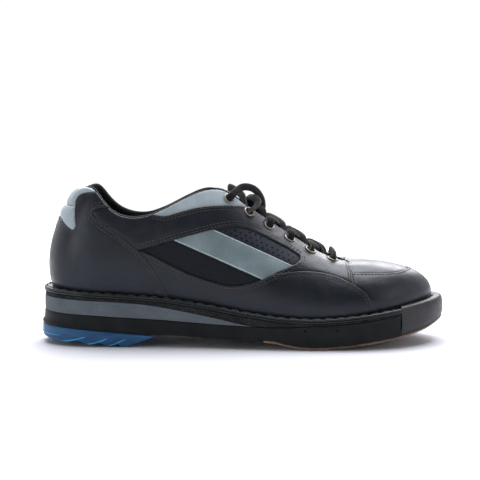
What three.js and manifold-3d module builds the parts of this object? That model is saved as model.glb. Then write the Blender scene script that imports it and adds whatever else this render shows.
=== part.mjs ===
// A laced performance bowling shoe, right foot, drawn for one sample size and graded from a few driving sizes.
// Frame: millimetres, +X towards the toe, +Y towards the inner (medial) side, +Z up.
// The upper is one last surface of four closed loops: foot line, two belly loops and top line.
// Every leather panel, stiffener, foam and lining is a layer of that surface cut along seam lines.
import * as THREE from "three";
import { mergeVertices } from "three/addons/utils/BufferGeometryUtils.js";
import Module from "manifold-3d";

const wasm = await Module();
wasm.setup();

// ---------------------------------------------------------------- driving dimensions

const SHOE_LENGTH = 307; // heel pad to toe guard
const SHOE_WIDTH = 104; // across the ball of the sole
const SHOE_HEIGHT = 118; // floor to the top of the collar
const SAMPLE = { length: 307, width: 104, height: 118 }; // the size that the pattern tables are drawn for

const CLEARANCE = 0.3; // between pieces that lie on each other
const SEAM_GAP = 0.3; // between panels that meet at a seam

const LEATHER = 1.6;
const POD_PROUD = 1.6; // how far the padded heel pods stand out of the leather
const STIFFENER = 1.0;
const COLLAR_FOAM = 3.2;
const LINING = 0.8;
const TONGUE_FACE = 1.0;
const TONGUE_FOAM = 3.4;
const TONGUE_LINING = 0.8;
const TONGUE_CROWN = 2.4; // rise of the tongue between the two eyelet rows

const WELT_WIDTH = 5.4; // sole edge beyond the foot line, on the sides
const TOE_EXTENSION = 3.4; // what the sole edge adds to that at the toe
const HEEL_EXTENSION = 1.4; // and at the heel
const WELT = 3.3;
const RUNNER_LEAST = 1.3; // thinnest place of the runner between welt and sidewall
const GUARD_WALL = 3;
const INSOLE_BOARD = 2;
const FOOTBED = 4;
const FOOTBED_GAP = 1; // all round, inside the lining
const SHANK = 1;
const SHANK_WIDTH = 15;
const HOOK_PANEL = 0.8;
const LOOP_PANEL = 0.7;
const SLIDE_SOLE = 1.6;
const PANEL_MARGIN = 6; // from the sole edge to the hook and loop panels
const UPPER_ON_WELT = 2.6; // how much of the upper's edge stands on the welt

const EYELETS_A_SIDE = 6;
const EYELET_PITCH = 18;
const EYELET_INSET = 5.8; // from the throat edge to the hole
const EYELET_HOLE = 5.6;
const EYELET_WALL = 0.5;
const EYELET_FLANGE = 9;
const EYELET_LIP = 0.7;
const EYELET_SEAT = 0.8; // flange above the leather's curved face
const EYELET_SIDES = 8;
const LACE = 4;
const AGLET_LENGTH = 20;

// ---------------------------------------------------------------- grading

const gradeX = SHOE_LENGTH / SAMPLE.length;
const gradeY = SHOE_WIDTH / SAMPLE.width;
const gradeZ = SHOE_HEIGHT / SAMPLE.height;

/** A side-view pattern point of the sample size, graded. */
const side = ([x, z]) => new THREE.Vector2(x * gradeX, z * gradeZ);

/** A height line over the length of the sole, smooth through its points. */
function heightLine(points) {
  const p = points.map(side);
  const slope = p.map((_, i) => {
    const a = p[Math.max(i - 1, 0)];
    const b = p[Math.min(i + 1, p.length - 1)];
    return (b.y - a.y) / (b.x - a.x);
  });
  return (x) => {
    let i = 0;
    while (i < p.length - 2 && x > p[i + 1].x) i++;
    const span = p[i + 1].x - p[i].x;
    const t = (x - p[i].x) / span;
    if (t < 0) return p[0].y + slope[0] * (x - p[0].x);
    if (t > 1) return p[i + 1].y + slope[i + 1] * (x - p[i + 1].x);
    const s = 1 - t;
    const ends = s * s * (1 + 2 * t) * p[i].y + t * t * (3 - 2 * t) * p[i + 1].y;
    return ends + span * t * s * (s * slope[i] - t * slope[i + 1]);
  };
}

// Heights of the sole's levels over its length.
const featherLine = heightLine([
  [-150, 42.8], [-110, 40.2], [-60, 37], [-25, 32.2], [5, 27.2], [30, 24], [55, 23.2], [85, 25.3], [115, 29.2],
  [150, 34.6],
]);
const wedgeTopLine = heightLine([
  [-150, 36], [-110, 34.2], [-90, 33.2], [-68, 31.2], [-45, 27.4], [-17, 22], [10, 16.9], [38, 17], [56, 18.6],
  [80, 24], [118, 34],
]);
const sidewallLine = heightLine([
  [-150, 24.8], [-113, 23.3], [-92, 22], [-60, 20.3], [-39, 18.9], [-17, 17.7], [12, 16.8],
]);
const outsoleBottomLine = heightLine([
  [-150, 14.8], [-127, 13.4], [-110, 12.1], [-90, 10.5], [-66, 8.7], [-48, 8.6], [-26, 7.3], [-4, 6.8], [12, 6.9],
  [24, 6.2], [32, 4.4], [40, 2.9], [50, 2.2], [60, 2.3], [80, 3.9], [103, 6.9], [119, 9.4], [138, 13.8], [154, 20],
]);

const WEDGE_TIP = 4 * gradeX;
const GUARD_REAR = 118 * gradeX;
const SLIDE_REAR = 16 * gradeX;
const HEEL_PAD_FRONT = -66 * gradeX;
const SOLE_HEEL = -153 * gradeX;
const SOLE_TOE = 156 * gradeX;
const PROFILE_STEP = 13; // spacing of the facets along a height line

const weltTop = (x) => featherLine(x) - CLEARANCE;
const weltBottom = (x) => weltTop(x) - WELT;
const runnerTop = (x) => weltBottom(x) - CLEARANCE;
const runnerBottom = (x) => Math.min(wedgeTopLine(x), runnerTop(x) - RUNNER_LEAST);

// ---------------------------------------------------------------- the last surface

// Stations round the shoe from the centre of the heel along the outer side to the toe.
// foot: x, y on the foot line; top: x, y, z on the top line;
// low: out, up of the rib's lower handle; high: out, down of its upper handle.
const OUTER_SIDE = [
  { foot: [-143.2, 0], top: [-122.5, 0, 116.5], low: [7.8, 20], high: [17.5, 17] },
  { foot: [-136.5, -19], top: [-119.5, -14.5, 117], low: [7, 20], high: [12, 17] },
  { foot: [-119, -29], top: [-109.5, -23.5, 115.5], low: [6, 20], high: [8, 18] },
  { foot: [-95, -31], top: [-95.5, -28.5, 100], low: [5.5, 19], high: [5, 18] },
  { foot: [-65, -32], top: [-73, -29.5, 96.2], low: [5, 18], high: [6, 18] },
  { foot: [-36, -35], top: [-47, -27, 107.2], low: [5, 18], high: [11, 20] },
  { foot: [-10, -39.5], top: [-19, -18.5, 116.2], low: [5, 20], high: [16, 20] },
  { foot: [19, -44.5], top: [4, -13, 103.5], low: [4.5, 20], high: [19, 16] },
  { foot: [50, -48], top: [29, -12, 86.5], low: [4.5, 19], high: [19, 12] },
  { foot: [82, -47], top: [53, -11.5, 71.5], low: [4, 18], high: [20, 8] },
  { foot: [109, -38.5], top: [71, -9.5, 63], low: [3.5, 17], high: [25, 3] },
  { foot: [132, -20.5], top: [79, -5.5, 61], low: [3, 17.5], high: [33, -1.5] },
  { foot: [145.3, 6.5], top: [81, 0, 60.6], low: [2.2, 18.5], high: [35.5, -2.5] },
];
const INNER_SIDE = [
  { foot: [-136.5, 19], top: [-119.5, 14.5, 117], low: [7, 20], high: [12, 17] },
  { foot: [-119, 28.5], top: [-109.5, 23.5, 116], low: [6, 20], high: [8, 18] },
  { foot: [-95, 30], top: [-95.5, 28.5, 101], low: [5.5, 19], high: [5, 18] },
  { foot: [-65, 28.5], top: [-73, 29.5, 95.2], low: [5, 18], high: [6, 18] },
  { foot: [-36, 27.5], top: [-47, 27, 106.2], low: [6, 18], high: [11, 20] },
  { foot: [-10, 30], top: [-19, 18.5, 116], low: [7, 20], high: [16, 20] },
  { foot: [19, 36], top: [4, 13, 103.5], low: [6, 20], high: [19, 16] },
  { foot: [50, 43], top: [29, 12, 86.5], low: [5, 19], high: [19, 12] },
  { foot: [82, 46.5], top: [53, 11.5, 71.5], low: [4, 18], high: [20, 8] },
  { foot: [109, 44], top: [71, 9.5, 63], low: [3.5, 17], high: [25, 3] },
  { foot: [132, 31.5], top: [79, 5.5, 61], low: [3, 17.5], high: [33, -1.5] },
];
const STATIONS = [...OUTER_SIDE, ...INNER_SIDE.reverse()];
const ROUND = STATIONS.length; // the loop parameter u runs from 0 to this
const TOE = OUTER_SIDE.length - 1;

/** Control points of the closed cubic B-spline that passes through the given points. */
function controlsThrough(points) {
  const n = points.length;
  const c = points.map((p) => p.clone());
  for (let pass = 0; pass < 60; pass++) {
    for (let i = 0; i < n; i++) {
      const beside = c[(i + n - 1) % n].clone().add(c[(i + 1) % n]);
      c[i] = points[i].clone().multiplyScalar(6).sub(beside).divideScalar(4);
    }
  }
  return c;
}

function loopPoint(controls, u) {
  const n = controls.length;
  const w = ((u % n) + n) % n;
  const i = Math.floor(w);
  const f = w - i;
  const g = 1 - f;
  const weights = [g ** 3, 3 * f ** 3 - 6 * f ** 2 + 4, 3 * g ** 3 - 6 * g ** 2 + 4, f ** 3];
  const p = new THREE.Vector3();
  weights.forEach((weight, k) => p.addScaledVector(controls[(i + n - 1 + k) % n], weight / 6));
  return p;
}

// All layers share these grid lines, so that their facets stay parallel.
const COLUMN = ROUND / 32;
const ROW = 1 / 7;

/** Level direction out of a loop at u. */
function outOf(controls, u) {
  const d = 0.01;
  const along = loopPoint(controls, u + d).sub(loopPoint(controls, u - d));
  return new THREE.Vector3(along.y, -along.x, 0).normalize();
}

const footPoints = STATIONS.map(({ foot: [x, y] }) => {
  return new THREE.Vector3(x * gradeX, y * gradeY, featherLine(x * gradeX));
});
const topPoints = STATIONS.map(({ top: [x, y, z] }) => new THREE.Vector3(x * gradeX, y * gradeY, z * gradeZ));
const footLoop = controlsThrough(footPoints);
const topLoop = controlsThrough(topPoints);
const lowPoints = STATIONS.map(({ low: [out, up] }, u) => {
  return footPoints[u].clone().addScaledVector(outOf(footLoop, u), out * gradeY).setZ(footPoints[u].z + up * gradeZ);
});
const highPoints = STATIONS.map(({ high: [out, down] }, u) => {
  return topPoints[u].clone().addScaledVector(outOf(topLoop, u), out * gradeY).setZ(topPoints[u].z - down * gradeZ);
});
const ribLoops = [footLoop, controlsThrough(lowPoints), controlsThrough(highPoints), topLoop];

/** A point of the last surface: u round the shoe, v from the foot line (0) to the top line (1). */
function lastPoint(u, v) {
  const w = 1 - v;
  const weights = [w ** 3, 3 * v * w ** 2, 3 * v ** 2 * w, v ** 3];
  const p = new THREE.Vector3();
  ribLoops.forEach((loop, k) => p.addScaledVector(loopPoint(loop, u), weights[k]));
  return p;
}

function lastNormal(u, v) {
  const d = 0.004;
  const round = lastPoint(u + d, v).sub(lastPoint(u - d, v));
  const rise = lastPoint(u, Math.min(v + d, 1)).sub(lastPoint(u, Math.max(v - d, 0)));
  return round.cross(rise).normalize();
}

/** The last surface moved out along its normal; a negative distance goes into the shoe. */
const offsetPoint = (u, v, out) => lastPoint(u, v).addScaledVector(lastNormal(u, v), out);

const smoothStep = THREE.MathUtils.smoothstep;

/** Depth of the lining's outer face: behind the collar foam round the ankle, behind the stiffeners elsewhere. */
function liningDepth(u, v) {
  const fromHeel = Math.min(u, ROUND - u);
  const collar = (1 - smoothStep(fromHeel, 5.4, 6.6)) * smoothStep(v, 0.4, 0.62);
  const shallow = LEATHER + CLEARANCE + STIFFENER + CLEARANCE;
  const deep = LEATHER + CLEARANCE + COLLAR_FOAM + CLEARANCE;
  return THREE.MathUtils.lerp(shallow, deep, collar);
}
const liningInside = (u, v) => liningDepth(u, v) + LINING;

// ---------------------------------------------------------------- solids

function solidOf(geometry) {
  const bare = geometry.clone();
  bare.deleteAttribute("normal");
  bare.deleteAttribute("uv");
  const merged = mergeVertices(bare, 1e-4);
  const mesh = new wasm.Mesh({
    numProp: 3,
    vertProperties: merged.attributes.position.array,
    triVerts: new Uint32Array(merged.index.array),
  });
  return new wasm.Manifold(mesh);
}

function geometryOf(solid) {
  const mesh = solid.getMesh();
  const geometry = new THREE.BufferGeometry();
  geometry.setAttribute("position", new THREE.BufferAttribute(mesh.vertProperties, 3));
  geometry.setIndex(new THREE.BufferAttribute(mesh.triVerts, 1));
  return geometry;
}

/** An upright prism over a plan outline of Vector2 or Vector3 points. */
function planPrism(outline, low, high) {
  const shape = new THREE.Shape(outline.map((p) => new THREE.Vector2(p.x, p.y)));
  const geometry = new THREE.ExtrudeGeometry(shape, { depth: high - low, bevelEnabled: false });
  return solidOf(geometry.translate(0, 0, low));
}

/** A prism across the shoe, from y = near to y = far, over a side-view outline of Vector2 (x, z) points. */
function sidePrism(outline, near, far) {
  const geometry = new THREE.ExtrudeGeometry(new THREE.Shape(outline), { depth: far - near, bevelEnabled: false });
  return solidOf(geometry.rotateX(Math.PI / 2).translate(0, far, 0));
}

/** A closed slab between two grids of points, given as columns; faces of `outer` follow column x row. */
function slab(outer, inner, closed = false) {
  const n = outer.length;
  const m = outer[0].length;
  const points = [...outer.flat(), ...inner.flat()];
  const at = (face, i, j) => face * n * m + (i % n) * m + j;
  const index = [];
  const quad = (a, b, c, d) => index.push(a, b, c, a, c, d);
  for (let i = 0; i < (closed ? n : n - 1); i++) {
    for (let j = 0; j < m - 1; j++) {
      quad(at(0, i, j), at(0, i + 1, j), at(0, i + 1, j + 1), at(0, i, j + 1));
      quad(at(1, i, j), at(1, i, j + 1), at(1, i + 1, j + 1), at(1, i + 1, j));
    }
    quad(at(0, i + 1, 0), at(0, i, 0), at(1, i, 0), at(1, i + 1, 0));
    quad(at(0, i, m - 1), at(0, i + 1, m - 1), at(1, i + 1, m - 1), at(1, i, m - 1));
  }
  for (let j = 0; j < m - 1 && !closed; j++) {
    quad(at(0, 0, j), at(0, 0, j + 1), at(1, 0, j + 1), at(1, 0, j));
    quad(at(0, n - 1, j + 1), at(0, n - 1, j), at(1, n - 1, j), at(1, n - 1, j + 1));
  }
  const geometry = new THREE.BufferGeometry().setFromPoints(points);
  geometry.setIndex(index);
  return solidOf(geometry);
}

const spread = (from, to, steps) => Array.from({ length: steps + 1 }, (_, i) => from + ((to - from) * i) / steps);

/** Grid lines of the last from one value to another, both ends included. */
function gridLines(from, to, step) {
  const lines = [from];
  for (let k = Math.floor(from / step) + 1; k * step < to - step / 8; k++) lines.push(k * step);
  return [...lines, to];
}

/** A layer of the upper over part of the last; outDepth and inDepth are depths or functions of (u, v). */
function layer({ from, to, low = 0, high = 1, outDepth, inDepth }) {
  const closed = to - from === ROUND;
  const us = gridLines(from, to, COLUMN).slice(0, closed ? -1 : undefined);
  const vs = gridLines(low, high, ROW);
  const depthAt = (depth, u, v) => (typeof depth === "number" ? depth : depth(u, v));
  const grid = (depth) => us.map((u) => vs.map((v) => offsetPoint(u, v, -depthAt(depth, u, v))));
  return slab(grid(outDepth), grid(inDepth), closed);
}

// ---------------------------------------------------------------- the sole unit

/** How far the sole edge stands outside the foot line. */
function soleEdge(u) {
  const fromToe = Math.abs(u - TOE);
  const fromHeel = Math.min(u, ROUND - u);
  const toe = TOE_EXTENSION * (1 - smoothStep(fromToe, 0, 4));
  return WELT_WIDTH + toe + HEEL_EXTENSION * (1 - smoothStep(fromHeel, 0, 2));
}

const PLAN_STEPS = 34;

/** Plan outline at a distance outside the foot line, or outside the sole edge. */
function planOutline(distance) {
  return spread(0, ROUND, PLAN_STEPS).slice(0, PLAN_STEPS).map((u) => {
    return loopPoint(footLoop, u).addScaledVector(outOf(footLoop, u), distance(u));
  });
}
const outsideFoot = (out) => planPrism(planOutline(() => out), SOLE_LOW, SOLE_HIGH);
const outsideSole = (out) => planPrism(planOutline((u) => soleEdge(u) + out), SOLE_LOW, SOLE_HIGH);

const SOLE_LOW = -20;
const SOLE_HIGH = 80 * gradeZ;
const ACROSS = 90 * gradeY; // wider than the shoe

/** All that lies between two height functions from x = rear to x = front. */
function between(bottom, top, rear, front) {
  const steps = Math.max(2, Math.ceil((front - rear) / PROFILE_STEP));
  const xs = spread(rear, front, steps);
  const outline = xs.map((x) => new THREE.Vector2(x, bottom(x)));
  outline.push(...xs.reverse().map((x) => new THREE.Vector2(x, top(x))));
  return sidePrism(outline, -ACROSS, ACROSS);
}

/** A patch with its rear end square and its edge inside the sole edge. */
const patch = (margin, bottom, top, rear, front) => outsideSole(-margin).intersect(between(bottom, top, rear, front));

const lower = (line, drop) => (x) => line(x) - drop;

// Hook panel and loop panel lie in a shallow pocket of the outsole.
const pocketDepth = CLEARANCE + HOOK_PANEL + CLEARANCE + LOOP_PANEL;
const hookTop = lower(outsoleBottomLine, CLEARANCE - pocketDepth);
const hookBottom = lower(hookTop, HOOK_PANEL);
const loopTop = lower(hookBottom, CLEARANCE);
const loopBottom = lower(loopTop, LOOP_PANEL);
const slideTop = lower(outsoleBottomLine, CLEARANCE);

const PANEL_REAR = { heel: SOLE_HEEL, forefoot: SLIDE_REAR + PANEL_MARGIN };
const PANEL_FRONT = { heel: HEEL_PAD_FRONT - PANEL_MARGIN, forefoot: 140 * gradeX }; // the toe end of the panel pair

function hookPanel(place) {
  return patch(PANEL_MARGIN, hookBottom, hookTop, PANEL_REAR[place], PANEL_FRONT[place]);
}

function loopPanel(place) {
  return patch(PANEL_MARGIN, loopBottom, loopTop, PANEL_REAR[place], PANEL_FRONT[place]);
}

function pocket(place) {
  const top = lower(outsoleBottomLine, -pocketDepth);
  const bottom = lower(outsoleBottomLine, 2);
  const rear = PANEL_REAR[place] - CLEARANCE;
  const front = PANEL_FRONT[place] + CLEARANCE;
  return patch(PANEL_MARGIN - CLEARANCE, bottom, top, rear, front);
}

/** What the toe guard takes from the pieces behind it. */
function guardSpace(gap) {
  const wall = between(() => SOLE_LOW, () => SOLE_HIGH, GUARD_REAR - gap, SOLE_TOE);
  const lip = between(lower(runnerBottom, gap), () => SOLE_HIGH, GUARD_REAR - gap, SOLE_TOE);
  return wall.subtract(outsideSole(-GUARD_WALL - gap)).add(lip);
}

function outsole() {
  const heel = between(outsoleBottomLine, lower(sidewallLine, CLEARANCE), SOLE_HEEL, WEDGE_TIP);
  const fore = between(outsoleBottomLine, lower(runnerBottom, CLEARANCE), WEDGE_TIP, SOLE_TOE);
  const body = outsideSole(0).intersect(heel.add(fore));
  return body.subtract(guardSpace(CLEARANCE)).subtract(pocket("heel")).subtract(pocket("forefoot"));
}

function toeGuard() {
  const whole = between(outsoleBottomLine, weltTop, GUARD_REAR, SOLE_TOE);
  return outsideSole(0).intersect(whole).subtract(outsideSole(-GUARD_WALL).subtract(guardLip()));
}

const guardLip = () => {
  const band = between(runnerBottom, () => SOLE_HIGH, GUARD_REAR, SOLE_TOE);
  return band.subtract(outsideFoot(-UPPER_ON_WELT));
};

function welt() {
  const band = between(weltBottom, weltTop, SOLE_HEEL, GUARD_REAR - CLEARANCE);
  return outsideSole(0).intersect(band).subtract(outsideFoot(-UPPER_ON_WELT));
}

function runner() {
  return outsideSole(-0.6).intersect(between(runnerBottom, runnerTop, SOLE_HEEL, GUARD_REAR - CLEARANCE));
}

function wedge() {
  return outsideSole(-0.3).intersect(between(sidewallLine, lower(runnerBottom, CLEARANCE), SOLE_HEEL, WEDGE_TIP));
}

const boardTop = weltTop;
const boardBottom = lower(boardTop, INSOLE_BOARD);

function insoleBoard() {
  return outsideFoot(-UPPER_ON_WELT - CLEARANCE).intersect(between(boardBottom, boardTop, SOLE_HEEL, SOLE_TOE));
}

function footbed() {
  const edge = liningInside(TOE, 0) + FOOTBED_GAP;
  const bottom = lower(boardTop, -CLEARANCE);
  return outsideFoot(-edge).intersect(between(bottom, lower(bottom, -FOOTBED), SOLE_HEEL, SOLE_TOE));
}

const SHANK_REAR = -104 * gradeX;
const SHANK_FRONT = 24 * gradeX;

function shank() {
  const top = lower(boardBottom, CLEARANCE);
  const plate = between(lower(top, SHANK), top, SHANK_REAR, SHANK_FRONT);
  const half = SHANK_WIDTH / 2;
  const plan = [[SHANK_REAR, -half], [SHANK_FRONT, -half], [SHANK_FRONT, half], [SHANK_REAR, half]];
  return planPrism(plan.map(([x, y]) => new THREE.Vector2(x, y)), SOLE_LOW, SOLE_HIGH).intersect(plate);
}

// Slide sole: follows the outsole, with a flat patch under the ball of the foot that stands on the floor.
const BALL_REAR = 43 * gradeX;
const BALL_FRONT = 62 * gradeX;

function slideSole() {
  const rear = SLIDE_REAR;
  const front = SOLE_TOE;
  const floorDrop = Math.min(...spread(BALL_REAR, BALL_FRONT, 8).map(slideTop)) - SLIDE_SOLE;
  const bottom = (x) => (x < BALL_REAR || x > BALL_FRONT ? Math.max(slideTop(x) - SLIDE_SOLE, floorDrop) : floorDrop);
  const xs = [...spread(rear, BALL_REAR, 3), ...spread(BALL_FRONT, front, 8)];
  const outline = xs.map((x) => new THREE.Vector2(x, bottom(x)));
  const topXs = spread(rear, front, Math.ceil((front - rear) / PROFILE_STEP)).reverse();
  outline.push(...topXs.map((x) => new THREE.Vector2(x, slideTop(x))));
  return { solid: outsideSole(-0.5).intersect(sidePrism(outline, -ACROSS, ACROSS)), floor: floorDrop };
}

// Heel pad: a block with four slanting teeth; the two front teeth end in flats that stand on the floor.
const TOOTH_LINE = [
  [-156, 5.2], [-151, 5.2], [-133.5, 2.6], [-131.5, 2.6], [-124, 4.6], [-115, 1.1], [-112.5, 1.1], [-107.5, 3.2],
  [-99.5, 0], [-95.5, 0], [-92.5, 2.6], [-87, 0], [-83, 0], [-66, 6.6],
];

function heelPad(floor) {
  const teeth = TOOTH_LINE.map(([x, z]) => new THREE.Vector2(x * gradeX, floor + z * gradeZ));
  const top = spread(HEEL_PAD_FRONT, TOOTH_LINE[0][0] * gradeX, 7).map((x) => new THREE.Vector2(x, slideTop(x)));
  return outsideSole(1.8).intersect(sidePrism([...teeth, ...top], -ACROSS, ACROSS));
}

// ---------------------------------------------------------------- seams of the upper

/** A smooth seam through side-view points of the sample size. */
const seam = (points, steps) => new THREE.SplineCurve(points.map(side)).getSpacedPoints(steps);

/** Corners joined by straight lines. */
const corners = (points) => points.map(side);

/** The outline moved out by a gap, whatever way round it is drawn. */
function grown(outline, gap) {
  const turn = THREE.ShapeUtils.isClockWise(outline) ? -1 : 1;
  const n = outline.length;
  return outline.map((p, i) => {
    const before = p.clone().sub(outline[(i + n - 1) % n]).normalize();
    const after = outline[(i + 1) % n].clone().sub(p).normalize();
    const out = new THREE.Vector2(before.y + after.y, -before.x - after.x);
    const stretch = Math.min(2 / Math.max(1 + before.dot(after), 0.2), 3);
    return p.clone().addScaledVector(out, (turn * gap * stretch) / 2);
  });
}

const COUNTER_SEAM = seam(
  [[-99, 103], [-106.5, 102], [-109.8, 98.6], [-102, 90.8], [-91, 83.5], [-76, 71.8], [-64, 56.6], [-55.6, 38.7]],
  18,
);
const COUNTER = [...corners([[-54, 20], [-175, 20], [-175, 135], [-88, 135], [-88, 103.5]]), ...COUNTER_SEAM];

// The two padded pods behind the ankle share a level seam.
const POD_TOP = 103.7;
const POD_FRONT = -123.7;
const POD_LOW_EDGE = [
  ...corners([[-175, 95], [-138, 95]]),
  ...seam([[-136, 93.6], [-131.5, 89.2], [-126.5, 86.2], [-123.2, 88.6], [-123.8, 96]], 8),
];
const POD_HIGH_EDGE = [
  ...seam([[-123.4, 107], [-120.8, 111.4], [-116, 113.6], [-105, 114.4]], 5),
  ...corners([[-100, 135], [-175, 135]]),
];
const LOWER_POD = [...POD_LOW_EDGE, ...corners([[POD_FRONT, POD_TOP - 0.2], [-175, POD_TOP - 0.2]])];
const UPPER_POD = [...corners([[-175, POD_TOP + 0.2], [POD_FRONT, POD_TOP + 0.2]]), ...POD_HIGH_EDGE];
const PODS = [...POD_LOW_EDGE, ...corners([[POD_FRONT, POD_TOP]]), ...POD_HIGH_EDGE];

const WINDOW_TOP = seam([[-76, 71.8], [-50, 79.5], [-20, 87.6], [-4.7, 89.4], [6, 87.2], [27, 77], [43.5, 67.2]], 18);
const WINDOW_BOTTOM = seam(
  [[40.5, 62.2], [27, 57], [11, 49.4], [0, 46.2], [-10.5, 46], [-37, 53.6], [-53, 61], [-73, 70.5]],
  16,
);
const WINDOW = [...WINDOW_TOP, ...WINDOW_BOTTOM];
const BAND = corners([[-56, 81.9], [-24.5, 89.2], [42, 59.1], [18, 49.7]]);
const BELOW_BAND = corners([[-95, 99], [-56.1, 81.6], [17.9, 49.4], [18, 20], [-95, 20]]);

const FOXING_SEAM = seam(
  [[19.5, 53.2], [38, 56.2], [52, 56.2], [68, 53.3], [75.4, 50.6], [84, 46.6], [90, 44.5]],
  12,
);
const FOXING = [...FOXING_SEAM, ...corners([[102, 40], [102, 10], [-90, 10], [-90, 72], [-76.5, 72]])];

const MOC_SEAM = seam([[82.2, 54.3], [103.5, 54], [115, 53.8], [127, 54.8], [131, 55.8]], 8);
const TOE_WRAP = [
  ...MOC_SEAM,
  ...corners([[175, 56], [175, 5], [102, 5]]),
  ...seam([[98.8, 29.5], [92, 40.4], [84.3, 46.6]], 4),
  ...corners([[82.2, 48]]),
];
const VAMP = [...corners([[175, 56.4], [175, 90], [74, 90]]), ...seam([[77.8, 62], [81.1, 59.4], [82.2, 54.7]], 3)];
const VAMP_EDGE = MOC_SEAM.map((p) => new THREE.Vector2(p.x, p.y + SEAM_GAP));

const ACCENT = [
  ...seam([[-66, 98.2], [-56.6, 97.1], [-48, 99.3], [-34.4, 102.9], [-23.4, 104.3], [-12, 104.4], [8, 103]], 10),
  ...corners([[14, 135], [-66, 135]]),
];

// ---------------------------------------------------------------- eyelets

const FIRST_EYELET = 6.36; // station of the top eyelet

/** Where the eyelets of the outer side sit: u and v of each hole, from the ankle to the toe. */
function eyeletPlaces() {
  const places = [];
  let u = FIRST_EYELET;
  for (let k = 0; k < EYELETS_A_SIDE; k++) {
    const edge = lastPoint(u, 1);
    let v = 1;
    while (lastPoint(u, v).distanceTo(edge) < EYELET_INSET) v -= 0.002;
    places.push({ u, v });
    const here = lastPoint(u, v);
    while (k < EYELETS_A_SIDE - 1 && lastPoint(u, v).distanceTo(here) < EYELET_PITCH) u += 0.005;
  }
  return places;
}

const eyelets = eyeletPlaces().flatMap(({ u, v }, k) => [
  { name: `eyelet_lateral_${k + 1}`, u, v, k, outer: true },
  { name: `eyelet_medial_${k + 1}`, u: ROUND - u, v, k, outer: false },
]);

/** Stands a geometry drawn along +Y at a place of the last, with +Y along the outward normal. */
function standOn(geometry, { u, v }) {
  const turn = new THREE.Quaternion().setFromUnitVectors(new THREE.Vector3(0, 1, 0), lastNormal(u, v));
  const place = lastPoint(u, v);
  return geometry.applyQuaternion(turn).translate(place.x, place.y, place.z);
}

const barrelRadius = EYELET_HOLE / 2 + EYELET_WALL;

function eyelet(place) {
  const hole = EYELET_HOLE / 2;
  const under = -(liningInside(place.u, place.v) + CLEARANCE);
  const profile = [
    [hole, under], [barrelRadius, under], [barrelRadius, EYELET_SEAT], [EYELET_FLANGE / 2, EYELET_SEAT],
    [EYELET_FLANGE / 2 - 0.5, EYELET_SEAT + EYELET_LIP], [hole, EYELET_SEAT + EYELET_LIP], [hole, under],
  ];
  const lathe = new THREE.LatheGeometry(profile.map(([r, y]) => new THREE.Vector2(r, y)), EYELET_SIDES);
  return solidOf(standOn(lathe, place));
}

const holes = eyelets.map((place) => {
  const radius = (barrelRadius + CLEARANCE) / Math.cos(Math.PI / EYELET_SIDES);
  return solidOf(standOn(new THREE.CylinderGeometry(radius, radius, 30, EYELET_SIDES), place));
});

const withHoles = (solid) => holes.reduce((left, hole) => left.subtract(hole), solid);

// ---------------------------------------------------------------- upper panels

const shell = layer({ from: 0, to: ROUND, outDepth: 0, inDepth: LEATHER });
const podShell = layer({ from: -4 * COLUMN, to: 4 * COLUMN, low: 3 * ROW, outDepth: -POD_PROUD, inDepth: LEATHER });
const acrossShoe = (outline) => sidePrism(outline, -ACROSS, ACROSS);

function upperPanels() {
  const panels = {};
  const toeArea = acrossShoe(TOE_WRAP);
  const vampArea = acrossShoe([...VAMP, ...VAMP_EDGE.slice(1)]);
  panels.toe_wrap = shell.intersect(toeArea);
  panels.vamp = shell.intersect(vampArea);
  const wrapSpace = acrossShoe(grown(TOE_WRAP, SEAM_GAP));
  const vampSpace = acrossShoe(grown([...VAMP, ...VAMP_EDGE.slice(1)], SEAM_GAP));
  const quarters = shell.subtract(wrapSpace).subtract(vampSpace);
  panels.heel_pod_lower = podShell.intersect(acrossShoe(LOWER_POD));
  panels.heel_pod_upper = podShell.intersect(acrossShoe(UPPER_POD));
  const seamHalf = SEAM_GAP / 2;
  for (const [sideName, near, far] of [["lateral", -ACROSS, -seamHalf], ["medial", seamHalf, ACROSS]]) {
    const area = (outline) => sidePrism(outline, near, far);
    const everything = corners([[-180, -10], [180, -10], [180, 150], [-180, 150]]);
    let rest = quarters.intersect(area(everything));
    const take = (name, outline) => {
      panels[`${name}_${sideName}`] = rest.intersect(area(outline));
      rest = rest.subtract(area(grown(outline, SEAM_GAP)));
    };
    take("counter", COUNTER);
    panels[`counter_${sideName}`] = panels[`counter_${sideName}`].subtract(area(grown(PODS, SEAM_GAP)));
    const window = rest.intersect(area(WINDOW));
    panels[`side_band_${sideName}`] = window.intersect(area(BAND));
    const aroundBand = window.subtract(area(grown(BAND, SEAM_GAP)));
    panels[`mesh_panel_${sideName}`] = aroundBand.intersect(area(BELOW_BAND));
    panels[`perforated_panel_${sideName}`] = aroundBand.subtract(area(grown(BELOW_BAND, SEAM_GAP)));
    rest = rest.subtract(area(grown(WINDOW, SEAM_GAP)));
    take("side_panel", FOXING);
    take("collar_accent", ACCENT);
    panels[`eyestay_${sideName}`] = withHoles(rest);
    panels[`collar_accent_${sideName}`] = withHoles(panels[`collar_accent_${sideName}`]);
  }
  return panels;
}

// ---------------------------------------------------------------- what lies behind the leather

const behindLeather = LEATHER + CLEARANCE;

/** A layer that lies against the leather and reaches as far on both sides of station u. */
function backing(u, reach, low, high, thickness) {
  const depths = { outDepth: behindLeather, inDepth: behindLeather + thickness };
  return layer({ from: u - reach, to: u + reach, low, high, ...depths });
}
const heelStiffener = () => backing(0, 5 * COLUMN, 0, 4 * ROW, STIFFENER);
const collarFoam = () => backing(0, 7 * COLUMN, 0.61, 0.98, COLLAR_FOAM);
const toePuff = () => backing(TOE, 3 * COLUMN, 0, 4 * ROW, STIFFENER);

const lining = (from, to) => layer({ from, to, high: 0.985, outDepth: liningDepth, inDepth: liningInside });

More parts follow.
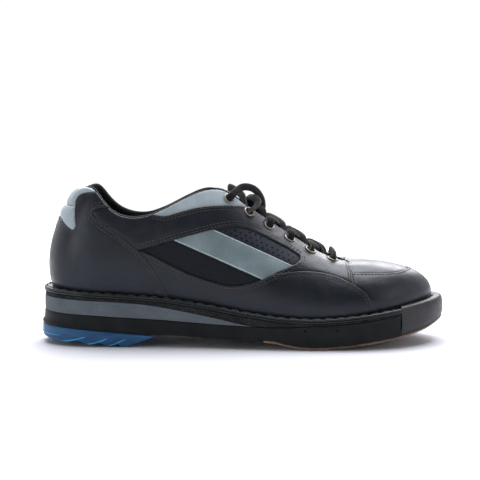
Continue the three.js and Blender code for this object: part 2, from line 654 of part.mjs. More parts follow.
const LINING_SEAM = 12 * COLUMN; // where the quarter linings meet the vamp lining, from the heel
const LINING_GAP = 0.015; // half the gap at that seam and at the heel, in stations

// ---------------------------------------------------------------- tongue

const LACE_ROOM = LACE + 4 * CLEARANCE; // the laces pass between the lining and the tongue
const TONGUE_TOP = 5.75;
const TONGUE_ROOT = 11.4;
const TONGUE_WINGS = [0.72, 0.84, 0.93, 1];

/** One row of the tongue from its outer edge to its inner edge, at a depth below the tongue's face. */
function tongueRow(u, depth) {
  const wing = (round) => {
    return TONGUE_WINGS.map((v) => offsetPoint(round, v, -(liningInside(round, v) + LACE_ROOM + depth)));
  };
  const left = wing(u);
  const right = wing(ROUND - u).reverse();
  const a = left.at(-1);
  const b = right[0];
  const up = lastNormal(u, 1).add(lastNormal(ROUND - u, 1)).normalize();
  const middle = [0.3, 0.5, 0.7].map((f) => {
    return a.clone().lerp(b, f).addScaledVector(up, TONGUE_CROWN * 4 * f * (1 - f));
  });
  return [...left, ...middle, ...right];
}

function tongueLayer(top, thickness) {
  const us = spread(TONGUE_TOP, TONGUE_ROOT, 8);
  return slab(us.map((u) => tongueRow(u, top)), us.map((u) => tongueRow(u, top + thickness)));
}

const LOOP_STATION = 7.55;
const LOOP_HALF = 0.16; // half its length, in stations
const LOOP_THICKNESS = 0.8;

/** The keeper: a small flat band stitched over the tongue that the lace crossing runs beside. */
function tongueLoop() {
  const rise = CLEARANCE + LOOP_THICKNESS;
  const ends = [LOOP_STATION - LOOP_HALF, LOOP_STATION + LOOP_HALF];
  const strip = (depth) => ends.map((w) => tongueRow(w, depth).slice(4, 7));
  return slab(strip(-rise), strip(-CLEARANCE));
}

// ---------------------------------------------------------------- lace

/** A route whose tube has one ring at each of its points. */
class LaceRoute extends THREE.CatmullRomCurve3 {
  getUtoTmapping(u) {
    return u;
  }
}

function roundSection(diameter, sides) {
  const turn = (i) => ((i + 0.5) * 2 * Math.PI) / sides;
  const at = (i) => new THREE.Vector2(Math.cos(turn(i)), Math.sin(turn(i))).multiplyScalar(diameter / 2);
  return new THREE.Shape(Array.from({ length: sides }, (_, i) => at(i)));
}

function tube(points, diameter, sides = 8) {
  const path = new LaceRoute(points, false, "catmullrom", 0.4);
  const options = { steps: points.length - 1, extrudePath: path, bevelEnabled: false };
  return solidOf(new THREE.ExtrudeGeometry(roundSection(diameter, sides), options));
}

// Height of the lace's centre above the leather where it lies on a flange.
const OVER = EYELET_SEAT + EYELET_LIP + LACE / 2 + CLEARANCE;
const UNDER_LINING = 2 * CLEARANCE + LACE / 2;
const CROSSING_RISE = LACE + CLEARANCE; // one strand of a crossing passes this far over the other

const BEND_SLACK = 0.4; // how far the lace swings below the lining where it turns

/** The stretch inside an eyelet, from above it to below the lining. */
function throughEyelet(e) {
  const below = liningInside(e.u, e.v) + UNDER_LINING + BEND_SLACK;
  return [offsetPoint(e.u, e.v, OVER), offsetPoint(e.u, e.v, -below)];
}

const EDGE_DIP = 1.2; // a strand sinks this far between the two throat edges

const throatEdge = (e, out) => offsetPoint(e.u, 1, out);

/** From below eyelet a, under its throat edge, over the tongue and down onto eyelet b. */
function crossing(a, b, height) {
  const low = throatEdge(a, -(liningInside(a.u, 1) + UNDER_LINING));
  if (b.outer && b.k === 0) {
    const arch = TOP_ARCH.map(([x, y, z]) => new THREE.Vector3(x * gradeX, y * gradeY, z * gradeZ));
    return [low, ...arch, throatEdge(b, OVER + LACE / 2)];
  }
  const over = throatEdge(b, OVER);
  const up = lastNormal(a.u, 1).add(lastNormal(b.u, 1)).normalize();
  const rise = throatEdge(a, -EDGE_DIP).lerp(over, 0.26).addScaledVector(up, height * 0.35);
  const middle = throatEdge(a, 0).lerp(throatEdge(b, 0), 0.5).addScaledVector(up, height);
  return [low, rise, middle, over];
}

// The last strand is slack: it leaves the throat beside the second inner eyelet and arches to the top outer one.
const TOP_ARCH = [[13.5, 9, 97.5], [17.2, 4.5, 103], [14.8, -1, 108.6], [8.6, -7, 112.8], [0.5, -12.5, 114.2]];

/** The lace's end beyond the top eyelet, tucked down along the lining. */
function tuckedEnd(e) {
  const places = [[6.2, 0.8], [5.75, 0.68], [5.25, 0.57], [4.75, 0.49], [4.3, 0.44]];
  return places.map(([u, v]) => {
    const w = e.outer ? u : ROUND - u;
    return offsetPoint(w, v, -(liningInside(w, v) + UNDER_LINING + CLEARANCE));
  });
}

const BAR_RISE = 1; // the bar at the toe end bows up in the middle

function laceRoute() {
  const at = (outer, k) => eyelets.find((e) => e.outer === outer && e.k === k);
  const last = EYELETS_A_SIDE - 1;
  /** One half of the lace from the bar at the toe end up to its tucked end. */
  const half = (startOuter) => {
    const points = [];
    let outer = startOuter;
    for (let k = last; k > 0; k--) {
      const from = at(outer, k);
      const to = at(!outer, k - 1);
      const over = startOuter === (k % 2 === 1);
      points.push(...throughEyelet(from));
      points.push(...crossing(from, to, OVER - EDGE_DIP + (over ? CROSSING_RISE : 0)));
      outer = !outer;
    }
    const top = at(outer, 0);
    return [...points, ...throughEyelet(top), ...tuckedEnd(top)];
  };
  const bar = throatEdge(at(true, last), OVER + 0.6).lerp(throatEdge(at(false, last), OVER + 0.6), 0.5);
  return [...half(true).reverse(), bar.add(new THREE.Vector3(0, 0, BAR_RISE)), ...half(false)];
}

const lacePoints = laceRoute();

/** A crimped tip that continues the lace beyond one of its ends. */
function aglet(end, before) {
  const along = end.clone().sub(before).normalize();
  const start = end.clone().addScaledVector(along, CLEARANCE);
  return tube([start, start.clone().addScaledVector(along, AGLET_LENGTH)], LACE * 0.9);
}

// ---------------------------------------------------------------- materials and assembly

const MATERIALS = {
  leather: { color: 0x383b43, roughness: 0.42, metalness: 0 },
  accent: { color: 0x87969a, roughness: 0.5, metalness: 0 },
  mesh: { color: 0x232730, roughness: 0.9, metalness: 0 },
  lining: { color: 0x2b2c33, roughness: 0.95, metalness: 0 },
  foam: { color: 0x9a9a92, roughness: 1, metalness: 0 },
  board: { color: 0xb9a684, roughness: 0.9, metalness: 0 },
  rubber: { color: 0x1f2124, roughness: 0.7, metalness: 0 },
  welt: { color: 0x29302f, roughness: 0.6, metalness: 0 },
  runner: { color: 0x35343a, roughness: 0.85, metalness: 0 },
  eva: { color: 0x5b6266, roughness: 0.8, metalness: 0 },
  guard: { color: 0x45424a, roughness: 0.6, metalness: 0 },
  suede: { color: 0x7a5a44, roughness: 0.95, metalness: 0 },
  heelPad: { color: 0x3a5d8a, roughness: 0.6, metalness: 0 },
  hook: { color: 0x18181a, roughness: 0.95, metalness: 0 },
  lace: { color: 0x2a2b33, roughness: 0.85, metalness: 0 },
  steel: { color: 0x9a9da0, roughness: 0.35, metalness: 1 },
  eyelet: { color: 0xa49a90, roughness: 0.4, metalness: 0.6 },
  plastic: { color: 0x15161a, roughness: 0.3, metalness: 0 },
};
const materials = Object.fromEntries(
  Object.entries(MATERIALS).map(([name, look]) => [name, new THREE.MeshStandardMaterial({ name, ...look })]),
);

const shoe = new THREE.Group();

function add(name, material, solid) {
  const mesh = new THREE.Mesh(geometryOf(solid), materials[material]);
  mesh.name = name;
  shoe.add(mesh);
}

const slide = slideSole();
add("outsole", "rubber", outsole());
add("midsole_wedge", "eva", wedge());
add("midsole_runner", "runner", runner());
add("welt", "welt", welt());
add("toe_guard", "guard", toeGuard());
add("shank", "steel", shank());
add("insole_board", "board", insoleBoard());
add("footbed", "lining", footbed());
add("heel_hook_panel", "hook", hookPanel("heel"));
add("heel_pad_loop_backing", "hook", loopPanel("heel"));
add("heel_pad", "heelPad", heelPad(slide.floor));
add("forefoot_hook_panel", "hook", hookPanel("forefoot"));
add("slide_sole_loop_backing", "hook", loopPanel("forefoot"));
add("slide_sole", "suede", slide.solid);

const PANEL_LOOKS = [
  ["heel_pod", "accent"], ["collar_accent", "accent"], ["side_band", "accent"], ["mesh_panel", "mesh"],
  ["", "leather"],
];
for (const [name, solid] of Object.entries(upperPanels())) {
  const [, look] = PANEL_LOOKS.find(([start]) => name.startsWith(start));
  add(name, look, solid);
}

add("heel_stiffener", "board", heelStiffener());
add("toe_puff", "board", toePuff());
add("collar_foam", "foam", collarFoam());
add("quarter_lining_lateral", "lining", withHoles(lining(LINING_GAP, LINING_SEAM - LINING_GAP)));
add("quarter_lining_medial", "lining", withHoles(lining(ROUND - LINING_SEAM + LINING_GAP, ROUND - LINING_GAP)));
add("vamp_lining", "lining", withHoles(lining(LINING_SEAM + LINING_GAP, ROUND - LINING_SEAM - LINING_GAP)));

add("tongue_face", "leather", tongueLayer(0, TONGUE_FACE));
add("tongue_foam", "foam", tongueLayer(TONGUE_FACE + CLEARANCE, TONGUE_FOAM));
add("tongue_lining", "lining", tongueLayer(TONGUE_FACE + TONGUE_FOAM + 2 * CLEARANCE, TONGUE_LINING));
add("tongue_loop", "leather", tongueLoop());

for (const place of eyelets) add(place.name, "eyelet", eyelet(place));
add("lace", "lace", tube(lacePoints, LACE));
add("aglet_medial", "plastic", aglet(lacePoints[0], lacePoints[1]));
add("aglet_lateral", "plastic", aglet(lacePoints.at(-1), lacePoints.at(-2)));

// The origin is on the floor, in the middle of the shoe's box.
const box = new THREE.Box3().setFromObject(shoe);
shoe.position.set(-(box.min.x + box.max.x) / 2, -(box.min.y + box.max.y) / 2, -box.min.z);

export default shoe;
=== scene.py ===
"""Looks of a laced bowling shoe, right foot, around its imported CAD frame.

Lengths in the tables are millimetres in the frame that the CAD patterns were drawn in:
+X towards the toe, +Y towards the inner side, +Z up. place() moves them into the row frame in metres.
"""

import math  # noqa: E402

import bpy  # noqa: E402
import numpy as np  # noqa: E402
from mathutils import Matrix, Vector  # noqa: E402
from mathutils.geometry import delaunay_2d_cdt  # noqa: E402
from mathutils.kdtree import KDTree  # noqa: E402


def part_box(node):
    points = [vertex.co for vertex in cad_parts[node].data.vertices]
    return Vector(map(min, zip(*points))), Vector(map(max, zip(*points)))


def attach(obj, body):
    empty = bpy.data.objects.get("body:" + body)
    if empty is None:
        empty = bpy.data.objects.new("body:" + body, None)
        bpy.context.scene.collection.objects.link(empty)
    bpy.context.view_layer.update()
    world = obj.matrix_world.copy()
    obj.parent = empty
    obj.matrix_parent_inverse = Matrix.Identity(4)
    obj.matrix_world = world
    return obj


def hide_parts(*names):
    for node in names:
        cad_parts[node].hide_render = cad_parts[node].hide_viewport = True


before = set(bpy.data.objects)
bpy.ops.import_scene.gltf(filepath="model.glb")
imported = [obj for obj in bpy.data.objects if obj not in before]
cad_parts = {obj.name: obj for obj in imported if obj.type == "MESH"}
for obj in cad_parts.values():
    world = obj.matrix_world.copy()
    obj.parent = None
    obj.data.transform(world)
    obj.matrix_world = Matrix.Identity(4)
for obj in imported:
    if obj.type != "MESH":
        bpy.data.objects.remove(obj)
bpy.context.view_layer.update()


def unit(vectors):
    """The vectors brought to length 1."""
    return vectors / np.linalg.norm(vectors, axis=-1, keepdims=True)


def turns(count):
    """Angles spread evenly over a full turn."""
    return np.linspace(0, 2 * math.pi, count, endpoint=False)


def run_of(line):
    """How far along the line each of its points lies."""
    return np.r_[0, np.cumsum(np.linalg.norm(np.diff(line, axis=0), axis=1))]


# ---------------------------------------------------------------- height lines of the sole


def height_line(points):
    """A smooth function of x through the points."""
    x, z = np.array(points, float).T
    slope = np.gradient(z)
    slope[1:-1] = (z[2:] - z[:-2]) / (x[2:] - x[:-2])
    slope[0] = (z[1] - z[0]) / (x[1] - x[0])
    slope[-1] = (z[-1] - z[-2]) / (x[-1] - x[-2])

    def at(q):
        q = np.asarray(q, float)
        i = np.clip(np.searchsorted(x, q) - 1, 0, len(x) - 2)
        h = x[i + 1] - x[i]
        t = np.clip((q - x[i]) / h, 0, 1)
        s = 1 - t
        between = s * s * (1 + 2 * t) * z[i] + t * t * (3 - 2 * t) * z[i + 1]
        between = between + h * t * s * (s * slope[i] - t * slope[i + 1])
        before = np.where(q < x[0], (q - x[0]) * slope[0], 0)
        after = np.where(q > x[-1], (q - x[-1]) * slope[-1], 0)
        return between + before + after

    return at


def step(t, a, b):
    """A smooth step from 0 at a to 1 at b."""
    t = np.clip((np.asarray(t, float) - a) / (b - a), 0, 1)
    return t * t * (3 - 2 * t)


# The foot line of the leather, the wedge's top, the rubber wall under the wedge, and the outsole's underside.
feather = height_line([
    (-150, 42.8), (-110, 40.2), (-60, 37), (-25, 32.2), (5, 27.2), (30, 24), (55, 23.2), (85, 25.3),
    (115, 29.2), (150, 34.6),
])  # fmt: skip
wedge_top = height_line([
    (-150, 36), (-110, 34.2), (-90, 33.2), (-68, 31.2), (-45, 27.4), (-17, 22), (10, 16.9), (38, 17),
    (56, 18.6), (80, 24), (118, 34),
])  # fmt: skip
sidewall = height_line([
    (-150, 24.8), (-113, 23.3), (-92, 22), (-60, 20.3), (-39, 18.9), (-17, 17.7), (12, 16.8),
])  # fmt: skip
outsole_bottom = height_line([
    (-150, 14.8), (-127, 13.4), (-110, 12.1), (-90, 10.5), (-66, 8.7), (-48, 8.6), (-26, 7.3), (-4, 6.8),
    (12, 6.9), (24, 6.2), (32, 4.4), (40, 2.9), (50, 2.2), (60, 2.3), (80, 3.9), (103, 6.9), (119, 9.4),
    (138, 13.8), (154, 20),
])  # fmt: skip

GAP = 0.3  # between neighbouring parts, as in the CAD
LEATHER = 1.6
SLIDE_SOLE = 1.6
WELT_HEIGHT = 3.3
THINNEST_RUNNER = 1.3
BALL_REAR, BALL_FRONT = 43, 62  # where the forefoot stands flat
GUARD_REAR = 118
WEDGE_TIP = 10.5
SLIDE_REAR = 16
PAD_FRONT = -66
SHANK_REAR = -104


def welt_top(x):
    return feather(x) - GAP


def welt_bottom(x):
    return welt_top(x) - WELT_HEIGHT


def runner_top(x):
    return welt_bottom(x) - 0.1


def runner_bottom(x):
    return np.minimum(wedge_top(x), runner_top(x) - THINNEST_RUNNER)


def slide_top(x):
    return outsole_bottom(x) - 0.15


FLOOR = float(np.min(outsole_bottom(np.linspace(BALL_REAR, BALL_FRONT, 9)))) - GAP - SLIDE_SOLE
# The shank shows how the pattern frame lies in the row frame.
shank_low, shank_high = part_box("shank")
SHIFT = np.array([shank_low.x * 1000 - SHANK_REAR, (shank_low.y + shank_high.y) * 500, -FLOOR])


def place(p):
    """Millimetres of the pattern frame to metres of the row frame."""
    return (np.asarray(p, float) + SHIFT) * 0.001


# ---------------------------------------------------------------- the last surface

# Stations from heel to toe: foot point (x, y), top point, and the handles at both: (outwards, up or down).
OUTER_SIDE = [
    ((-143.2, 0), (-122.5, 0, 116.5), (7.8, 20), (17.5, 17)),
    ((-136.5, -19), (-119.5, -14.5, 117), (7, 20), (12, 17)),
    ((-119, -29), (-109.5, -23.5, 115.5), (6, 20), (8, 18)),
    ((-95, -31), (-95.5, -28.5, 100), (5.5, 19), (5, 18)),
    ((-65, -32), (-73, -29.5, 96.2), (5, 18), (6, 18)),
    ((-36, -35), (-47, -27, 107.2), (5, 18), (11, 20)),
    ((-10, -39.5), (-19, -18.5, 116.2), (5, 20), (16, 20)),
    ((19, -44.5), (4, -13, 103.5), (4.5, 20), (19, 16)),
    ((50, -48), (29, -12, 86.5), (4.5, 19), (19, 12)),
    ((82, -47), (53, -11.5, 71.5), (4, 18), (20, 8)),
    ((109, -38.5), (71, -9.5, 63), (3.5, 17), (25, 3)),
    ((132, -20.5), (79, -5.5, 61), (3, 17.5), (33, -1.5)),
    ((145.3, 6.5), (81, 0, 60.6), (2.2, 18.5), (35.5, -2.5)),
]
INNER_SIDE = [
    ((-136.5, 19), (-119.5, 14.5, 117), (7, 20), (12, 17)),
    ((-119, 28.5), (-109.5, 23.5, 116), (6, 20), (8, 18)),
    ((-95, 30), (-95.5, 28.5, 101), (5.5, 19), (5, 18)),
    ((-65, 28.5), (-73, 29.5, 95.2), (5, 18), (6, 18)),
    ((-36, 27.5), (-47, 27, 106.2), (6, 18), (11, 20)),
    ((-10, 30), (-19, 18.5, 116), (7, 20), (16, 20)),
    ((19, 36), (4, 13, 103.5), (6, 20), (19, 16)),
    ((50, 43), (29, 12, 86.5), (5, 19), (19, 12)),
    ((82, 46.5), (53, 11.5, 71.5), (4, 18), (20, 8)),
    ((109, 44), (71, 9.5, 63), (3.5, 17), (25, 3)),
    ((132, 31.5), (79, 5.5, 61), (3, 17.5), (33, -1.5)),
]
STATIONS = OUTER_SIDE + INNER_SIDE[::-1]
ROUND = len(STATIONS)
TOE = len(OUTER_SIDE) - 1


def controls_through(points):
    """Control points of the closed cubic B-spline that goes through the points."""
    c = points.copy()
    for _ in range(60):
        for i in range(len(c)):
            c[i] = (6 * points[i] - c[i - 1] - c[(i + 1) % len(c)]) / 4
    return c


def loop_at(c, u):
    """Points of a closed cubic B-spline."""
    w = np.asarray(u, float) % ROUND
    i = np.floor(w).astype(int) % ROUND
    f = (w - np.floor(w))[..., None]
    g = 1 - f
    a, b, d, e = c[(i - 1) % ROUND], c[i], c[(i + 1) % ROUND], c[(i + 2) % ROUND]
    return (g**3 * a + (3 * f**3 - 6 * f**2 + 4) * b + (3 * g**3 - 6 * g**2 + 4) * d + f**3 * e) / 6


def out_of(c, u):
    """Level direction out of a loop."""
    d = loop_at(c, np.asarray(u, float) + 0.01) - loop_at(c, np.asarray(u, float) - 0.01)
    return unit(np.stack([d[..., 1], -d[..., 0], 0 * d[..., 0]], -1))


foot_points = np.array([[*s[0], feather(s[0][0])] for s in STATIONS], float)
top_points = np.array([s[1] for s in STATIONS], float)
foot_loop = controls_through(foot_points)
top_loop = controls_through(top_points)
every = np.arange(ROUND)
low_handles = np.array([s[2] for s in STATIONS], float)
high_handles = np.array([s[3] for s in STATIONS], float)
low_points = foot_points + out_of(foot_loop, every) * low_handles[:, :1]
low_points = low_points + np.outer(low_handles[:, 1], (0, 0, 1))
high_points = top_points + out_of(top_loop, every) * high_handles[:, :1]
high_points = high_points - np.outer(high_handles[:, 1], (0, 0, 1))
RIBS = [foot_loop, controls_through(low_points), controls_through(high_points), top_loop]


def last(u, v):
    """Points of the last surface: u round the shoe, v from the foot line to the top line."""
    u, v = np.broadcast_arrays(np.asarray(u, float), np.asarray(v, float))
    w = 1 - v
    weights = (w**3, 3 * v * w**2, 3 * v**2 * w, v**3)
    return sum(k[..., None] * loop_at(c, u) for k, c in zip(weights, RIBS))


def tangents(u, v):
    """The surface's change along u and along v."""
    u, v = np.broadcast_arrays(np.asarray(u, float), np.asarray(v, float))
    d = 0.004
    du = (last(u + d, v) - last(u - d, v)) / (2 * d)
    hi, lo = np.minimum(v + d, 1), np.maximum(v - d, 0)
    return du, (last(u, hi) - last(u, lo)) / (hi - lo)[..., None]


def normal(u, v):
    """Directions out of the surface."""
    return unit(np.cross(*tangents(u, v)))


def offset(u, v, out):
    """Points that many millimetres outside the surface."""
    return last(u, v) + normal(u, v) * np.asarray(out, float)[..., None]


def lining_inside(u, v):
    """How deep the lining's inner face lies: the foam in the collar pushes it in."""
    from_heel = np.minimum(np.asarray(u, float) % ROUND, ROUND - np.asarray(u, float) % ROUND)
    collar = (1 - step(from_heel, 5.4, 6.6)) * step(v, 0.4, 0.62)
    return 3.2 + 2.2 * collar + 0.8


def ripple(p, size, seed=1):
    """Smooth noise between about -1 and 1, with waves of about that size."""
    r = np.random.default_rng(seed)
    total = 0
    for _ in range(9):
        d = r.normal(size=3)
        d *= (2 * math.pi / size) * r.uniform(0.6, 1.5) / np.linalg.norm(d)
        total = total + np.sin(p @ d + r.uniform(0, 6.28))
    return total / 3.5


# ---------------------------------------------------------------- materials


def colour(hex_value, k=1.0):
    """A linear colour from its sRGB value, times k."""
    c = [int(hex_value[i : i + 2], 16) / 255 for i in (0, 2, 4)]
    return [min(1.0, k * (x / 12.92 if x <= 0.04045 else ((x + 0.055) / 1.055) ** 2.4)) for x in c] + [1.0]


class Nodes:
    """A small writer of the node tree of a material or a world."""

    def __init__(self, owner, shader="Principled BSDF"):
        self.owner = owner
        owner.use_nodes = True
        self.tree = owner.node_tree
        self.shader = self.tree.nodes[shader]
        self.places = self.new("ShaderNodeTexCoord").outputs

    def new(self, kind, **values):
        n = self.tree.nodes.new(kind)
        for key, value in values.items():
            if key in n.inputs:
                self.put(n.inputs[key], value)
            else:
                setattr(n, key, value)
        return n

    def put(self, socket, value):
        if isinstance(value, bpy.types.NodeSocket):
            self.tree.links.new(value, socket)
        else:
            socket.default_value = value

    def set(self, **values):
        for key, value in values.items():
            self.put(self.shader.inputs[key.replace("_", " ")], value)

    def noise(self, scale, detail=3.0, rough=0.5, stretch=None):
        vector = self.places["Object"]
        if stretch:
            vector = self.new("ShaderNodeMapping", Vector=vector, Scale=stretch).outputs[0]
        n = self.new("ShaderNodeTexNoise", Vector=vector, Scale=scale, Detail=detail, Roughness=rough)
        return n.outputs["Fac"]

    def wave(self, scale, direction, distortion, source=None):
        vector = source or self.places["Object"]
        n = self.new("ShaderNodeTexWave", bands_direction=direction, Vector=vector, Scale=scale)
        self.put(n.inputs["Distortion"], distortion)
        return n.outputs["Fac"]

    def math(self, operation, a, b=0.5):
        n = self.new("ShaderNodeMath", operation=operation)
        self.put(n.inputs[0], a)
        self.put(n.inputs[1], b)
        return n.outputs[0]

    def remap(self, value, low, high, to_low, to_high):
        n = self.new("ShaderNodeMapRange", Value=value)
        for key, x in (("From Min", low), ("From Max", high), ("To Min", to_low), ("To Max", to_high)):
            self.put(n.inputs[key], x)
        return n.outputs["Result"]

    def mix(self, fac, a, b):
        n = self.new("ShaderNodeMix", data_type="RGBA")
        self.put(n.inputs["Factor"], fac)
        # Sockets 6 and 7 and output 2 are the colour ones.
        self.put(n.inputs[6], a)
        self.put(n.inputs[7], b)
        return n.outputs[2]

    def bump(self, height, distance, strength=1.0, under=None):
        n = self.new("ShaderNodeBump", Height=height, Distance=distance, Strength=strength)
        if under:
            self.put(n.inputs["Normal"], under)
        return n.outputs["Normal"]

    def attribute(self, name):
        return self.new("ShaderNodeAttribute", attribute_name=name).outputs["Fac"]


def new_material(name):
    return Nodes(bpy.data.materials.new(name))


def leather(name, base, light, rough, grain, edge, gloss, cast=(0.8, 0.86, 1.0)):
    """Grained leather, paler where the edge is worn; cast tints its highlights."""
    n = new_material(name)
    tone = n.remap(n.noise(38, 4), 0.35, 0.65, 0, 1)
    skin = n.mix(tone, colour(base), colour(light))
    vector = n.places["Object"]
    pores = n.new("ShaderNodeTexVoronoi", feature="SMOOTH_F1", Vector=vector, Scale=900, Smoothness=0.4)
    pores = pores.outputs["Distance"]
    skin = n.mix(n.remap(pores, 0.25, 0.6, 0.12, 0), skin, colour(base, 0.5))
    worn = n.math("MULTIPLY", n.attribute("edge"), n.remap(n.noise(160, 3), 0.4, 0.6, 0.1, 0.55))
    skin = n.mix(worn, skin, colour(edge))
    creases = n.noise(260, 5, 0.6)
    first = n.bump(creases, 0.0004, grain * 4)
    n.set(
        Base_Color=skin,
        Roughness=n.remap(n.noise(120, 4), 0.3, 0.7, rough - 0.05, rough + 0.08),
        Normal=n.bump(pores, 0.0002, grain * 6, first),
        Specular_IOR_Level=gloss,
        Specular_Tint=(*cast, 1.0),
    )
    return n.owner


def textile(name, base, light, pitch=0.9, rough=0.9, sheen=0.12, depth=0.0003):
    """A knit or woven cloth with its threads at the given pitch in millimetres."""
    n = new_material(name)
    scale = 1000 / pitch / 6.283 * 3.14159
    a = n.wave(scale, "X", 0.6)
    b = n.wave(scale, "Z", 0.6)
    c = n.wave(scale, "Y", 0.6)
    weave = n.math("MULTIPLY", n.math("ADD", n.math("ADD", a, b), c), 0.333)
    cloth = n.mix(n.remap(weave, 0.25, 0.75, 0, 1), colour(base), colour(light))
    cloth = n.mix(n.remap(n.noise(70, 4), 0.35, 0.7, 0, 0.35), cloth, colour(base, 0.7))
    n.set(Base_Color=cloth, Roughness=rough, Normal=n.bump(weave, depth, 0.7))
    n.set(Sheen_Weight=sheen, Sheen_Roughness=0.5, Specular_IOR_Level=0.2)
    return n.owner


def ribbed_mesh():
    """The knit of the mesh window, its ribs turned along the band."""
    n = new_material("mesh_knit")
    uv = n.new("ShaderNodeUVMap", uv_map="flat").outputs[0]
    turned = n.new("ShaderNodeMapping", Vector=uv, Rotation=(0, 0, 0.42)).outputs[0]
    ribs = n.wave(27, "X", 0.4, turned)
    cross = n.wave(27, "Y", 0.4, turned)
    weave = n.math("MULTIPLY", ribs, n.remap(cross, 0, 1, 0.3, 1))
    cloth = n.mix(n.remap(weave, 0.1, 0.8, 0, 1), colour("090c11"), colour("1e242d"))
    n.set(Base_Color=cloth, Roughness=0.85, Normal=n.bump(weave, 0.0004, 0.6))
    n.set(Sheen_Weight=0.05, Specular_IOR_Level=0.25)
    return n.owner


def rubber(name, base, light, rough, streak=False, fleck=None, gloss=0.3, dust=0.05, cast=(0.9, 0.95, 1.0)):
    """A moulded surface, streaked along the sole or flecked, with a little dust."""
    n = new_material(name)
    tone = n.noise(60, 5, stretch=(1, 1, 6) if streak else None)
    skin = n.mix(n.remap(tone, 0.35, 0.7, 0, 1), colour(base), colour(light))
    if fleck:
        spots = n.remap(n.noise(900, 2, 0.5), 0.56, 0.64, 0, 0.9)
        skin = n.mix(spots, skin, colour(fleck))
    skin = n.mix(n.remap(n.noise(25, 5), 0.5, 0.75, 0, dust), skin, colour("7d7f80"))
    grain = n.noise(1400, 3)
    n.set(
        Base_Color=skin,
        Roughness=n.remap(n.noise(90, 4), 0.3, 0.7, rough - 0.08, rough + 0.12),
        Normal=n.bump(grain, 0.00012, 0.5),
        Specular_IOR_Level=gloss,
        Specular_Tint=(*cast, 1.0),
    )
    return n.owner


def suede():
    n = new_material("suede")
    skin = n.mix(n.remap(n.noise(55, 5), 0.35, 0.7, 0, 1), colour("5d4330"), colour("8e6d52"))
    skin = n.mix(n.remap(n.noise(700, 4), 0.4, 0.65, 0, 0.5), skin, colour("3a2a20"))
    nap = n.bump(n.noise(1500, 5, 0.7), 0.0004, 0.8)
    n.set(Base_Color=skin, Roughness=0.95, Sheen_Weight=0.5, Normal=nap)
    return n.owner


def metal(name, base, rough=0.35, strength=1.0):
    """Metal, or a coat of metallic paint at less than full strength."""
    n = new_material(name)
    skin = n.mix(n.remap(n.noise(400, 4), 0.4, 0.7, 0, 0.5), colour(base), colour(base, 0.55))
    n.set(
        Base_Color=skin,
        Metallic=strength,
        Roughness=n.remap(n.noise(600, 3), 0.3, 0.7, rough - 0.1, rough + 0.15),
        Normal=n.bump(n.noise(500, 3), 0.00008, 0.5),
    )
    return n.owner


def lace_cloth():
    """The lace's braid, drawn along its length, paler at its rims."""
    n = new_material("lace_cloth")
    along, across = n.attribute("along"), n.attribute("across")
    line = n.new("ShaderNodeCombineXYZ", X=along, Y=across).outputs[0]
    a = n.wave(0.55, "DIAGONAL", 0.3, line)
    flipped = n.new("ShaderNodeCombineXYZ", X=along, Y=n.math("MULTIPLY", across, -1)).outputs[0]
    b = n.wave(0.55, "DIAGONAL", 0.3, flipped)
    weave = n.math("MULTIPLY", n.math("ADD", a, b), 0.5)
    cloth = n.mix(n.remap(weave, 0.2, 0.8, 0, 1), colour("08090c"), colour("17181e"))
    rim = n.remap(n.math("ABSOLUTE", across, 0), 2.5, 2.66, 0, 0.7)
    rim = n.math("MULTIPLY", rim, n.remap(n.noise(900, 2), 0.35, 0.6, 0.3, 1))
    cloth = n.mix(rim, cloth, colour("645f58"))
    n.set(Base_Color=cloth, Roughness=0.88, Normal=n.bump(weave, 0.0003, 0.8))
    n.set(Sheen_Weight=0.08, Specular_IOR_Level=0.2)
    return n.owner


